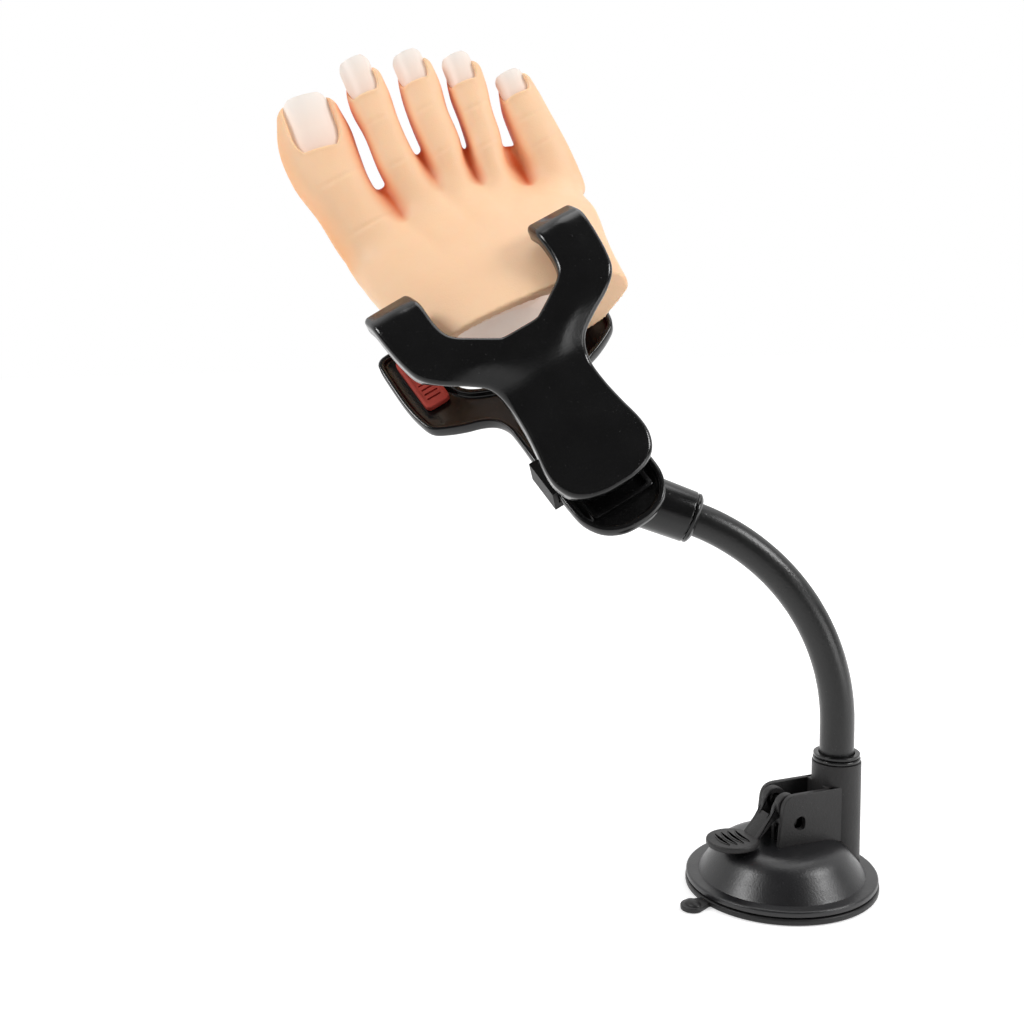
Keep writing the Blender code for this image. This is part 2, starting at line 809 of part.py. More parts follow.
def bend_line(turns, length, step):
    # Centreline that turns by each angle over its run: (start, run, angle)
    place = np.arange(0, length + step, step)
    lean = np.zeros_like(place)
    for start, run, angle in turns:
        share = np.clip((place - start) / run, 0, 1)
        lean += angle * share**2 * (3 - 2 * share)
    x = np.concatenate([[0], np.cumsum(np.cos(lean[:-1]) * step)])
    z = np.concatenate([[0], np.cumsum(np.sin(lean[:-1]) * step)])
    return place, x, z, lean


def bent_point(point, line):
    # A flat jaw's point carried onto the bent centreline
    place, x, z, lean = line
    if point[0] <= 0:
        return point
    cx, cz, angle = (np.interp(point[0], place, values) for values in (x, z, lean))
    return (cx - math.sin(angle) * point[2], point[1], cz + math.cos(angle) * point[2])


def jaw_shell(name, loop, turns, face, side, finish, carrier):
    # A shell with a rounded edge and a rim all round, bent along X.
    # face is the height of its outer surface and side is +1 or -1, the way it looks.
    outer = []
    for angle in (0, 30, 60, 90):
        lean = math.radians(angle)
        outer.append((jaw_round * (1 - math.cos(lean)), jaw_round * (math.sin(lean) - 1)))
    inner_corner = jaw_wall / 3
    rows = [(jaw_rim_width, -jaw_rim_depth), (0, -jaw_rim_depth), *outer]
    lower = [(jaw_rim_width, -jaw_wall - inner_corner), (jaw_rim_width + inner_corner, -jaw_wall)]
    rings = []
    for inset, height in list(reversed(lower)) + rows:
        moved = inset_loop(loop, inset)
        rings.append([(x, y, height) for x, y in moved])
    points, faces = loft(rings)
    work = bmesh.new()
    corners = [work.verts.new(point) for point in points]
    for one in faces:
        work.faces.new([corners[i] for i in one])
    stations = []
    for start, run, _ in turns:
        stations += [start + run * share for share in (0, 0.35, 0.65, 1)]
    for station in sorted(set(stations)):
        whole = work.verts[:] + work.edges[:] + work.faces[:]
        bmesh.ops.bisect_plane(work, geom=whole, dist=1e-7, plane_co=(station, 0, 0), plane_no=(1, 0, 0))
    bmesh.ops.connect_verts_concave(work, faces=[f for f in work.faces if len(f.verts) > 4])
    bmesh.ops.triangulate(work, faces=[f for f in work.faces if len(f.verts) > 4])
    line = bend_line(turns, rear_length, bend_step)
    for corner in work.verts:
        x, y, z = bent_point(tuple(corner.co), line)
        corner.co = (x, y, face + side * z)
    bmesh.ops.recalc_face_normals(work, faces=work.faces)
    mesh = bpy.data.meshes.new(name)
    work.to_mesh(mesh)
    work.free()
    mesh.shade_smooth()
    mesh.set_sharp_from_angle(angle=math.radians(32))
    mesh.materials.append(finish)
    made = bpy.data.objects.new(name, mesh)
    bpy.context.collection.objects.link(made)
    made.parent = carrier
    return made


rear_turns = (
    (rear_bow_start, rear_bow_run, rear_bow_angle),
    (rear_bow_start + rear_bow_run + rear_bow_hold, rear_bow_run, -rear_bow_angle),
)
front_turns = (
    (front_bow_start, front_bow_run, front_bow_angle),
    (front_bow_start + front_bow_run + front_bow_hold, front_bow_run, -front_bow_angle),
)
hook_turn = (hook_start, hook_run, hook_angle)
rear_bow = float(bend_line(rear_turns, rear_length, bend_step)[2][-1])
front_bow = float(bend_line(front_turns, front_length, bend_step)[2][-1])


def ear(name, y, root, carrier, side):
    # A lug from the jaw's inner face to the hinge pin, in the XZ plane
    foot = ear_radius * 1.5
    outline = [(-foot, root), (foot, root)]
    for i in range(9):
        angle = math.pi * i / 8
        outline.append((ear_radius * math.cos(angle), side * ear_radius * math.sin(angle)))
    return prism(name, outline, y, y + ear_thickness, "Y", carrier)


def rear_jaw(clamp):
    loop = smooth_loop(rear_outline_shares, rear_length, rear_half_width, jaw_point_spacing)
    jaw = jaw_shell("rear_jaw", loop, rear_turns, rear_back, -1, black_plastic(), clamp)
    hinge = frame_empty("rear_hinge_frame", Matrix.Translation((hinge_x, 0, hinge_z)), clamp)
    inner = rear_back + jaw_wall
    root = inner - hinge_z - jaw_wall / 2
    for number, y in enumerate((ear_outer_y, -ear_outer_y - ear_thickness)):
        fuse(jaw, ear(f"rear_ear_{number}", y, root, hinge, 1))
    high = latch_frame_half_length + latch_frame_wall
    wide = latch_frame_half_width + latch_frame_wall
    frame = prism(
        "latch_frame",
        rounded_box_outline(
            latch_frame_x - high, latch_frame_x + high, -wide, wide, latch_frame_wall
        ),
        inner - gap, inner + latch_frame_height, "Z", clamp,
    )
    window = prism(
        "latch_window",
        rounded_box_outline(
            latch_frame_x - latch_frame_half_length, latch_frame_x + latch_frame_half_length,
            -latch_frame_half_width, latch_frame_half_width, latch_frame_wall / 2,
        ),
        rear_back - overrun, inner + latch_frame_height + overrun, "Z", clamp,
    )
    fuse(jaw, frame)
    pin = along_y(
        (-ear_outer_y - overrun - ear_thickness, ear_outer_y + overrun + ear_thickness),
        "rear_pin_hole", hinge_pin_radius + gap, 0, 0, hinge,
    )
    carve(jaw, window, pin)
    return jaw


def front_jaw(front):
    loop = smooth_loop(front_outline_shares, front_length, front_half_width, jaw_point_spacing)
    loop = loop - np.array([[hinge_x, 0]])
    turns = [(start - hinge_x, run, angle) for start, run, angle in (*front_turns, hook_turn)]
    jaw = jaw_shell("front_jaw", loop, turns, front_face, 1, black_plastic(), front)
    root = front_face - jaw_wall / 2
    inner_y = ear_outer_y - gap - ear_thickness
    for number, y in enumerate((inner_y, -inner_y - ear_thickness)):
        fuse(jaw, ear(f"front_ear_{number}", y, root, front, -1))
    pin = along_y(
        (-ear_outer_y - ear_thickness, ear_outer_y + ear_thickness), "front_pin_hole",
        hinge_pin_radius + gap, 0, 0, front,
    )
    carve(jaw, pin)
    return jaw


def hinge_parts(clamp):
    reach = ear_outer_y + ear_thickness
    along_y((-reach, reach), "hinge_pin", hinge_pin_radius, hinge_x, hinge_z, clamp, steel(), 20)
    # The torsion spring winds round the pin, and each leg lies along a jaw
    curve = bpy.data.curves.new("torsion_spring", "CURVE")
    curve.dimensions = "3D"
    curve.bevel_depth = spring_wire
    curve.bevel_resolution = 1
    curve.use_fill_caps = True
    route = []
    rear_leg_z = rear_back + jaw_wall + spring_wire + gap - hinge_z
    route.append((-spring_leg, -spring_half_length, rear_leg_z))
    start_angle = -math.pi / 2
    points_per_turn = 10
    total = round(spring_turns * points_per_turn)
    for i in range(total + 1):
        angle = start_angle + 2 * math.pi * i / points_per_turn
        y = spring_half_length * (2 * i / total - 1)
        route.append((spring_coil_radius * math.cos(angle), y, spring_coil_radius * math.sin(angle)))
    # The other leg stops where the front jaw's tail comes when the clamp is wide open
    widest = jaw_open_angle + jaw_open_more
    front_leg_z = front_face - jaw_wall - spring_wire - gap
    end_x = -spring_leg * math.cos(widest) - front_leg_z * math.sin(widest)
    end_z = -spring_leg * math.sin(widest) + front_leg_z * math.cos(widest)
    route.append((end_x, spring_half_length, end_z))
    spline = curve.splines.new("POLY")
    spline.points.add(len(route) - 1)
    for point, place in zip(spline.points, route):
        point.co = (*place, 1)
    made = bpy.data.objects.new("torsion_spring", curve)
    curve.materials.append(steel())
    bpy.context.collection.objects.link(made)
    made.parent = clamp
    made.location = (hinge_x, 0, hinge_z)


def pads(clamp, front):
    arm_inner = rear_back - rear_bow + jaw_wall
    for name, side in (("rear_pad_left", 1), ("rear_pad_right", -1)):
        y0, y1 = sorted((side * pad_inner_y, side * pad_outer_y))
        outline = rounded_box_outline(pad_start, pad_end, y0, y1, pad_corner)
        low = arm_inner + gap
        prism(name, outline, low, low + pad_thickness, "Z", clamp, red_rubber())
    ceiling = front_face + front_bow - jaw_wall - gap
    for name, side in (("front_pad_left", 1), ("front_pad_right", -1)):
        y0, y1 = sorted((side * front_pad_inner_y, side * front_pad_outer_y))
        outline = rounded_box_outline(
            front_pad_start - hinge_x, front_pad_end - hinge_x, y0, y1, pad_corner
        )
        prism(name, outline, ceiling - front_pad_thickness, ceiling, "Z", front, red_rubber())


def bracket(clamp):
    tail_half = rear_half_width * rear_outline_shares[5][1]
    inside = tail_half + gap
    outside = inside + rail_thickness
    top = bracket_bottom + bracket_thickness
    rim_top = rear_back + jaw_rim_depth
    lip_low = rim_top + gap
    lip_high = lip_low + rail_lip_thickness
    lip_inside = tail_half - rail_lip
    outline = [
        (-outside, bracket_bottom), (outside, bracket_bottom), (outside, lip_high), (lip_inside, lip_high),
        (lip_inside, lip_low), (inside, lip_low), (inside, top), (-inside, top), (-inside, lip_low),
        (-lip_inside, lip_low), (-lip_inside, lip_high), (-outside, lip_high),
    ]
    made = prism("slide_bracket", outline, bracket_start, bracket_end, "X", clamp, black_plastic())
    boss = cylinder(
        "bracket_boss", bracket_boss_radius, disc_half_thickness + gap, bracket_bottom + gap, clamp
    )
    fuse(made, boss)
    hole = cylinder(
        "bracket_bore", swivel_pin_radius + gap, 0, bracket_bottom + bracket_thickness / 2, clamp, sides=20
    )
    carve(made, hole)
    head_low = -disc_half_thickness - gap - swivel_head_thickness
    profile = [
        (0, head_low), (swivel_head_radius, head_low), (swivel_head_radius, head_low + swivel_head_thickness),
        (swivel_pin_radius, head_low + swivel_head_thickness), (swivel_pin_radius, bracket_bottom), (0, bracket_bottom),
    ]
    turned("swivel_pin", profile, steel(), clamp, 20)


# Foot: sections along X as shares of the foot's length, width and height
foot_body_length = 83.0 * mm
foot_width = 104.0 * mm
foot_height = 37.4 * mm
foot_low = 10.6 * mm
foot_skew = 0.2
cut_skew = 0.15
section_shares = (
    # along, right edge, left edge, bottom, top
    (0.0, -0.455, 0.279, 0.137, 1.0),
    (0.185, -0.53, 0.284, 0.137, 0.965),
    (0.46, -0.6, 0.288, 0.137, 0.855),
    (0.6, -0.62, 0.288, 0.05, 0.785),
    (0.741, -0.625, 0.284, 0.0, 0.715),
    (0.877, -0.59, 0.274, 0.02, 0.655),
    (1.0, -0.51, 0.24, 0.09, 0.55),
)
# Each toe by stations of distance along, sideways, half width and half height, as
# shares of the big toe's length from the line where the toes leave the foot
toe_length = 60.0 * mm
toe_shares = {
    "big_toe": (
        (-0.233, 0.217, 0.258, 0.217), (0.067, 0.275, 0.242, 0.208), (0.333, 0.29, 0.227, 0.192),
        (0.583, 0.283, 0.243, 0.188), (0.8, 0.238, 0.237, 0.175), (0.917, 0.207, 0.2, 0.142),
    ),
    "second_toe": (
        (-0.133, -0.1, 0.16, 0.183), (0.133, -0.113, 0.158, 0.15), (0.367, -0.133, 0.147, 0.133),
        (0.6, -0.16, 0.14, 0.125), (0.833, -0.205, 0.151, 0.12), (0.933, -0.225, 0.13, 0.1),
    ),
    "third_toe": (
        (-0.133, -0.35, 0.152, 0.183), (0.167, -0.387, 0.136, 0.143), (0.333, -0.412, 0.145, 0.133),
        (0.533, -0.447, 0.148, 0.123), (0.733, -0.492, 0.148, 0.117), (0.833, -0.52, 0.125, 0.097),
    ),
    "fourth_toe": (
        (-0.233, -0.592, 0.152, 0.183), (0.083, -0.637, 0.13, 0.147), (0.233, -0.672, 0.139, 0.137),
        (0.4, -0.708, 0.143, 0.125), (0.567, -0.75, 0.146, 0.117), (0.667, -0.78, 0.125, 0.097),
    ),
    "fifth_toe": (
        (-0.367, -0.9, 0.195, 0.217), (-0.1, -0.95, 0.172, 0.183), (0.083, -0.97, 0.158, 0.158),
        (0.217, -0.992, 0.148, 0.143), (0.333, -1.013, 0.143, 0.13), (0.433, -1.033, 0.12, 0.103),
    ),
}
# Each nail: root, length, half width and arch radius, as shares of the same length
nail_shares = {
    "big_toe_nail": (0.6, 0.417, 0.15, 0.26),
    "second_toe_nail": (0.775, 0.3, 0.102, 0.14),
    "third_toe_nail": (0.695, 0.255, 0.098, 0.135),
    "fourth_toe_nail": (0.543, 0.245, 0.095, 0.13),
    "fifth_toe_nail": (0.31, 0.21, 0.092, 0.128),
}
small_toe_roll = math.radians(-18)


def toe_matrix(distance, sideways, depth, heading, pitch):
    # A frame on the toe plane: X along the toe, Z out of the plane
    plane = Matrix.Translation((toe_plane_x, 0, toe_plane_z)) @ Matrix.Rotation(-toe_lift, 4, "Y")
    place = Matrix.Translation((distance, sideways, -depth))
    turn = Matrix.Rotation(heading, 4, "Z") @ Matrix.Rotation(pitch, 4, "Y")
    return plane @ place @ turn


def superellipse(count, half_width, half_height, power):
    ring = []
    for i in range(count):
        angle = 2 * math.pi * i / count
        c, s = math.cos(angle), math.sin(angle)
        x = math.copysign(abs(c) ** (2 / power), c) * half_width
        z = math.copysign(abs(s) ** (2 / power), s) * half_height
        ring.append((x, z))
    return ring


def foot_body_ring(share, inset=0.0):
    along, right, left, bottom, top = share
    x = foot_cut + along * foot_body_length
    y0, y1 = right * foot_width + inset, left * foot_width - inset
    z0 = foot_low + bottom * foot_height + inset
    z1 = foot_low + top * foot_height - inset
    middle_y, middle_z = (y0 + y1) / 2, (z0 + z1) / 2
    ring = superellipse(foot_sides, (y1 - y0) / 2, (z1 - z0) / 2, foot_section_power)
    skew = cut_skew * (1 - along) + foot_skew * along**2
    return [(x + skew * (middle_y + y), middle_y + y, middle_z + z) for y, z in ring]


def toe_solid(name, stations, clamp):
    rings = []
    scale = toe_length
    count = len(stations)
    for i, (distance, sideways, half_width, half_height) in enumerate(stations):
        before = stations[max(i - 1, 0)]
        after = stations[min(i + 1, count - 1)]
        heading = math.atan2((after[1] - before[1]), (after[0] - before[0]))
        place = toe_matrix(distance * scale, sideways * scale, half_height * scale, heading, 0)
        ring = superellipse(toe_sides, half_width * scale, half_height * scale, 2.2)
        rings.append([place @ Vector((0, y, z)) for y, z in ring])
    # The last station closes over a short cap
    distance, sideways, half_width, half_height = stations[-1]
    previous = stations[-2]
    heading = math.atan2(sideways - previous[1], distance - previous[0])
    reach = half_height * scale * 0.7
    for share in (0.5, 0.8, 1.0):
        place = toe_matrix(
            distance * scale + reach * share * math.cos(heading),
            sideways * scale + reach * share * math.sin(heading),
            half_height * scale, heading, 0,
        )
        if share == 1.0:
            rings.append([place.translation])
            continue
        shrink = math.sqrt(1 - share**2)
        ring = superellipse(toe_sides, half_width * scale * shrink, half_height * scale * shrink, 2.2)
        rings.append([place @ Vector((0, y, z)) for y, z in ring])
    points, faces = loft(rings)
    return solid(name, points, faces, None, clamp, helper=True)


def nail_span(share):
    # Half-width share of the nail along its length: rounded root and free edge
    root = min(1.0, 0.72 + 0.28 * math.sin(min(share / 0.25, 1.0) * math.pi / 2))
    tip = 1.0 if share < 0.8 else math.sqrt(max(0.0, 1 - ((share - 0.8) / 0.2) ** 2 * 0.6))
    return min(root, tip)


def nail_solid(name, sizes, carrier, finish=None):
    root, length, half_width, radius = (value * toe_length for value in sizes)
    full = math.asin(half_width / radius)
    steps = 8
    across = 8
    rings = []
    for i in range(steps + 1):
        share = i / steps
        span = full * nail_span(share)
        ring = []
        for j in range(across + 1):
            angle = span * (2 * j / across - 1)
            ring.append((share * length, radius * math.sin(angle), radius * (math.cos(angle) - 1)))
        thin = radius - nail_thickness
        for j in range(across, -1, -1):
            angle = span * (2 * j / across - 1)
            ring.append((share * length, thin * math.sin(angle), thin * math.cos(angle) - radius))
        rings.append(ring)
    points, faces = loft(rings)
    return solid(name, points, faces, finish, carrier, helper=finish is None)


def nail_bed_cutter(name, sizes, carrier):
    # The space of the nail and of its way out, open above from the cuticle on
    root, length, half_width, radius = (value * toe_length for value in sizes)
    full = math.asin(half_width / radius)
    widest = 0.0
    rings = []
    across = 8
    margin = gap / radius
    places = [-gap / length, 0.12, 0.25, 0.5, 0.9, 1.0 + nail_clear_above / length]
    cuticle = nail_root / length
    places = sorted(places + [cuticle - gap / length / 2, cuticle + gap / length / 2])
    for share in places:
        widest = max(widest, full * nail_span(max(share, 0)) + margin)
        above = radius + gap if share < cuticle else radius + nail_clear_above
        below = radius - nail_thickness - gap
        ring = []
        for j in range(across + 1):
            angle = widest * (2 * j / across - 1)
            ring.append((share * length, above * math.sin(angle), above * math.cos(angle) - radius))
        for j in range(across, -1, -1):
            angle = widest * (2 * j / across - 1)
            ring.append((share * length, below * math.sin(angle), below * math.cos(angle) - radius))
        rings.append(ring)
    points, faces = loft(rings)
    return solid(name, points, faces, None, carrier, helper=True)


def nail_frames(clamp):
    # Each nail's frame sits on top of its toe: X to the toe's tip, Z out of the toe
    frames = {}
    for name, sizes in nail_shares.items():
        root = sizes[0]
        stations = np.array(toe_shares[name.replace("_nail", "")])
        tip = root + sizes[1] * 0.7
        here = [np.interp(root, stations[:, 0], stations[:, k]) for k in (1, 3)]
        there = np.interp(tip, stations[:, 0], stations[:, 1])
        heading = math.atan2(there - here[0], tip - root)
        place = toe_matrix(
            root * toe_length, here[0] * toe_length, here[1] * toe_length, heading, nail_pitch
        )
        roll = 0.0 if name.startswith("big") else small_toe_roll
        lift = Matrix.Translation((0, 0, here[1] * toe_length - nail_depth))
        place = place @ Matrix.Rotation(roll, 4, "X") @ lift
        frames[name] = frame_empty(f"{name}_frame", place, clamp)
    return frames


def section_near_cut(depth):
    # The section at a depth from the cut face, between the first and third stations
    first, third = section_shares[0], section_shares[2]
    along = depth / foot_body_length
    blend = max(along, 0) / third[0]
    return (along, *(a + (b - a) * blend for a, b in zip(first[1:], third[1:])))


def foot(clamp):
    rings = [foot_body_ring(share) for share in section_shares]
    # The front end closes over a short, smaller ring
    centre = np.mean(rings[-1], axis=0)
    front = centre + (np.array(rings[-1]) - centre) * foot_end_shrink
    rings.append([(x + foot_end_length, y, z) for x, y, z in front])
    points, faces = loft(rings)
    body = solid("foot_skin", points, faces, skin(), clamp)
    for name, stations in toe_shares.items():
        fuse(body, toe_solid(name, stations, clamp))
    pocket = []
    for depth in (-overrun, foot_pocket):
        pocket.append(foot_body_ring(section_near_cut(depth), foot_skin_wall))
    points, faces = loft(pocket)
    carve(body, solid("foot_pocket", points, faces, None, clamp, helper=True))
    core = []
    for depth, inset in (
        (core_recess, foot_skin_wall + gap + core_face_inset),
        (core_recess + core_face_chamfer, foot_skin_wall + gap),
        (foot_pocket - gap, foot_skin_wall + gap),
    ):
        core.append(foot_body_ring(section_near_cut(depth), inset))
    points, faces = loft(core)
    solid("foot_core", points, faces, core_plastic(), clamp)
    frames = nail_frames(clamp)
    for name, sizes in nail_shares.items():
        nail_solid(name, sizes, frames[name], nail_plastic())
        carve(body, nail_bed_cutter(f"{name}_bed", sizes, frames[name]))


def main():
    start_scene()
    base = frame_empty("base_frame", Matrix.Identity(4))
    suction_pad(base)
    base_housing(base)
    lever_and_pins(base)
    arm_pieces(base)
    sleeve_end = sleeve_pieces(base)
    clamp = frame_empty("clamp_frame", clamp_matrix(), base)
    knuckle(base, clamp, sleeve_end)
    bracket(clamp)
    rear_jaw(clamp)
    opening = Matrix.Translation((hinge_x, 0, hinge_z)) @ Matrix.Rotation(-jaw_open_angle, 4, "Y")
    front = frame_empty("front_jaw_frame", opening, clamp)
    front_jaw(front)
    hinge_parts(clamp)
    pads(clamp, front)
    foot(clamp)


main()
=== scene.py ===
import math

import bmesh
import bpy
import numpy as np
from mathutils import Matrix, Vector
from mathutils.geometry import delaunay_2d_cdt


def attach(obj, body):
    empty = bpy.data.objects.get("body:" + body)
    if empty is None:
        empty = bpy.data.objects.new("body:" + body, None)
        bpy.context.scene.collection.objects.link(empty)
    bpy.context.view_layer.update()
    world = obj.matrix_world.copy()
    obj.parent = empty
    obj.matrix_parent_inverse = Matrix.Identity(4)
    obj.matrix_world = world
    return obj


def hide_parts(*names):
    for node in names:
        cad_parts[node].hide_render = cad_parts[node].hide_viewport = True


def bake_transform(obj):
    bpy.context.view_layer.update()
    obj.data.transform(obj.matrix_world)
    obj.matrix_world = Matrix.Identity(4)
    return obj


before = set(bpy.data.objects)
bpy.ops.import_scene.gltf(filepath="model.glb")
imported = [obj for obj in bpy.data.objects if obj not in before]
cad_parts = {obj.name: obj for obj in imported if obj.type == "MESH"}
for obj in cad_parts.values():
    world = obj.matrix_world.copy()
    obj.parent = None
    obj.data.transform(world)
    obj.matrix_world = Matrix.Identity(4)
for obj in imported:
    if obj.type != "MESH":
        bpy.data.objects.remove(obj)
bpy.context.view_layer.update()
mm = 0.001
print("frame loaded")


# Camera, light and floor

cameraPlace = {
    "lens": 1250 / 1024 * 36,
    "azimuth": -20,
    "elevation": 8.4,
    "roll": -1.2,
    "position": (-230.1, -361.9, 196.3),
}


def makeCamera(place):
    # right, up and back are the view's axes, turned about the line of sight by the roll
    a, e, r = (math.radians(place[key]) for key in ("azimuth", "elevation", "roll"))
    back = Vector((math.sin(a) * math.cos(e), -math.cos(a) * math.cos(e), math.sin(e)))
    right = Vector((math.cos(a), math.sin(a), 0))
    up = back.cross(right)
    turnedRight = right * math.cos(r) + up * math.sin(r)
    turnedUp = up * math.cos(r) - right * math.sin(r)
    data = bpy.data.cameras.new("camera")
    data.sensor_width = 36
    data.lens = place["lens"]
    data.clip_start = 0.01
    camera = bpy.data.objects.new("camera", data)
    bpy.context.scene.collection.objects.link(camera)
    turn = Matrix((turnedRight, turnedUp, back)).transposed().to_4x4()
    camera.matrix_world = Matrix.Translation(Vector(place["position"]) * mm) @ turn
    bpy.context.scene.camera = camera


def makeLamp(name, position, target, size, power):
    data = bpy.data.lights.new(name, "AREA")
    data.shape = "RECTANGLE"
    data.size, data.size_y = size
    data.energy = power
    lamp = bpy.data.objects.new(name, data)
    bpy.context.scene.collection.objects.link(lamp)
    way = Vector(target) - Vector(position)
    lamp.matrix_world = Matrix.Translation(position) @ way.to_track_quat("-Z", "Y").to_matrix().to_4x4()


makeCamera(cameraPlace)
aim = (-0.03, 0, 0.16)
makeLamp("rightLamp", (0.72, -0.68, 0.9), aim, (0.45, 0.45), 8.5)
makeLamp("leftLamp", (-1.05, 0.02, 0.8), aim, (0.4, 0.4), 6.5)
makeLamp("topLamp", (0.2, 0.2, 1.3), aim, (0.9, 0.9), 4.5)
makeLamp("lowLamp", (0.45, -0.6, 0.1), aim, (0.4, 0.3), 1.2)


# Shader maths

class Value:
    # a node's output, which sums and products read as plain expressions
    def __init__(self, finish, socket):
        self.finish = finish
        self.socket = socket

    def maths(self, operation, first, second):
        return self.finish.node("ShaderNodeMath", {"operation": operation}, {0: first, 1: second})

    def __add__(self, other):
        return self.maths("ADD", self, other)

    def __radd__(self, other):
        return self.maths("ADD", other, self)

    def __sub__(self, other):
        return self.maths("SUBTRACT", self, other)

    def __rsub__(self, other):
        return self.maths("SUBTRACT", other, self)

    def __mul__(self, other):
        return self.maths("MULTIPLY", self, other)

    def __rmul__(self, other):
        return self.maths("MULTIPLY", other, self)


class Finish:
    # one material, or the world, whose varying sockets come from nodes
    def __init__(self, name, constants, owners=bpy.data.materials, shader="Principled BSDF"):
        self.material = owners.new(name)
        self.material.use_nodes = True
        self.tree = self.material.node_tree
        self.shader = self.tree.nodes[shader]
        for key, value in constants.items():
            self.shader.inputs[key].default_value = value

    def node(self, kind, settings, sockets, output=0):
        made = self.tree.nodes.new(kind)
        for key, value in settings.items():
            setattr(made, key, value)
        for key, value in sockets.items():
            self.join(value, made.inputs[key])
        return Value(self, made.outputs[output])

    def join(self, value, socket):
        if isinstance(value, Value):
            self.tree.links.new(value.socket, socket)
        else:
            socket.default_value = value

    def place(self):
        return self.node("ShaderNodeTexCoord", {}, {}, "Object")

    def noise(self, scale, detail=3, rough=0.5, vector=None):
        sockets = {"Vector": vector or self.place(), "Scale": scale, "Detail": detail, "Roughness": rough}
        return self.node("ShaderNodeTexNoise", {"noise_dimensions": "3D"}, sockets)

    def stretched(self, scales):
        return self.node("ShaderNodeMapping", {}, {"Vector": self.place(), "Scale": scales})

    def attribute(self, name):
        return self.node("ShaderNodeAttribute", {"attribute_name": name}, {}, "Fac")

    def span(self, value, low, high, newLow=0.0, newHigh=1.0):
        sockets = {"Value": value, "From Min": low, "From Max": high, "To Min": newLow, "To Max": newHigh}
        return self.node("ShaderNodeMapRange", {"clamp": True}, sockets)

    def mix(self, share, first, second):
        sockets = {"Factor": share, 6: first, 7: second}
        return self.node("ShaderNodeMix", {"data_type": "RGBA"}, sockets, 2)

    def bump(self, height, strength, distance):
        sockets = {"Height": height, "Strength": strength, "Distance": distance}
        return self.node("ShaderNodeBump", {}, sockets)

    def rays(self, *kinds):
        return [self.node("ShaderNodeLightPath", {}, {}, f"Is {kind} Ray") for kind in kinds]

    def facing(self, heading, way):
        return self.node("ShaderNodeVectorMath", {"operation": "DOT_PRODUCT"}, {0: heading, 1: way}, "Value")

    def use(self, key, value):
        self.join(value, self.shader.inputs[key])

    def surface(self, gloss, low, high, height, strength, depth):
        # roughness that follows a pattern from low to high, and a bump
        self.use("Roughness", self.span(gloss, 0.3, 0.7, low, high))
        self.use("Normal", self.bump(height, strength, depth))
        return self.material


def grey(level, tint=(1, 1, 1)):
    return (level * tint[0], level * tint[1], level * tint[2], 1)


def mouldedPlastic(name, dark, light, tint, rough, grain, depth, specular, dust):
    # faint cloudiness in the colour, a fine spark-eroded grain, patchy gloss and a few dust specks
    made = Finish(name, {"Specular IOR Level": specular})
    cloud = made.noise(60, 3)
    body = made.mix(made.span(cloud, 0.35, 0.65), grey(dark, tint), grey(light, tint))
    specks = made.span(made.noise(1400, 2, 0.4), 0.735, 0.76)
    made.use("Base Color", made.mix(specks * dust, body, grey(0.16)))
    patch = made.noise(140, 4, 0.6)
    return made.surface(patch, rough - 0.03, rough + 0.04, made.noise(grain, 2, 0.6), 0.25, depth)


def skinSilicone():
    # silicone skin: peach, with painted shade as dark red in the folds between the toes and a deeper orange
    # down the toes' lower sides, with blotches, fine lines and pores
    made = Finish("skinSilicone", {
        "Subsurface Weight": 0.2, "Subsurface Radius": (1.0, 0.3, 0.15), "Subsurface Scale": 0.005,
        "Specular IOR Level": 0.35,
    })
    gapShade, sideShade = made.attribute("gapShade"), made.attribute("sideShade")
    blotch = made.span(made.noise(32, 3, 0.55), 0.35, 0.7)
    base = made.mix(blotch * 0.3, (0.91, 0.61, 0.385, 1), (0.88, 0.51, 0.28, 1))
    # painted shade: the toes' lower sides deepen to orange
    sideShaded = made.mix(sideShade, base, (0.9, 0.4, 0.15, 1))
    made.use("Base Color", made.mix(gapShade, sideShaded, (0.72, 0.1, 0.015, 1)))
    cells = {"Vector": made.place(), "Scale": 900}
    pores = made.node("ShaderNodeTexVoronoi", {"feature": "DISTANCE_TO_EDGE"}, cells)
    lines = made.noise(260, 5, 0.65, made.stretched((1, 1, 2.4)))
    height = made.span(pores, 0.0, 0.12) * 0.35 + lines
    return made.surface(lines, 0.4, 0.55, height, 0.2, 0.0004)


def nailPlastic():
    # pressed tip: pink over the bed, milky towards the free edge, with faint lengthwise lines
    made = Finish("nailPlastic", {"Subsurface Weight": 0.08, "Subsurface Radius": (0.6, 0.4, 0.35),
                                  "Subsurface Scale": 0.002, "Coat Roughness": 0.15})
    along = made.attribute("along")
    body = made.mix(made.span(along, 0.0, 0.45), (0.88, 0.64, 0.53, 1), (0.91, 0.75, 0.65, 1))
    cloud = made.noise(90, 2, 0.4)
    soft = made.mix(made.span(cloud, 0.3, 0.7, 0.0, 0.12), body, (0.88, 0.76, 0.68, 1))
    made.use("Base Color", made.mix(made.span(along, 0.5, 1.0), soft, (0.89, 0.82, 0.76, 1)))
    made.use("Coat Weight", made.span(cloud, 0.3, 0.7, 0.03, 0.08))
    return made.surface(cloud, 0.42, 0.5, made.noise(200, 2, 0.5), 0.05, 0.0001)


def padRubber():
    made = Finish("padRubber", {"Specular IOR Level": 0.35})
    dust = made.noise(180, 4, 0.6)
    red = made.mix(made.span(dust, 0.35, 0.75), (0.30, 0.028, 0.02, 1), (0.40, 0.05, 0.035, 1))
    made.use("Base Color", red)
    return made.surface(dust, 0.5, 0.66, made.noise(1500, 2), 0.2, 0.0002)


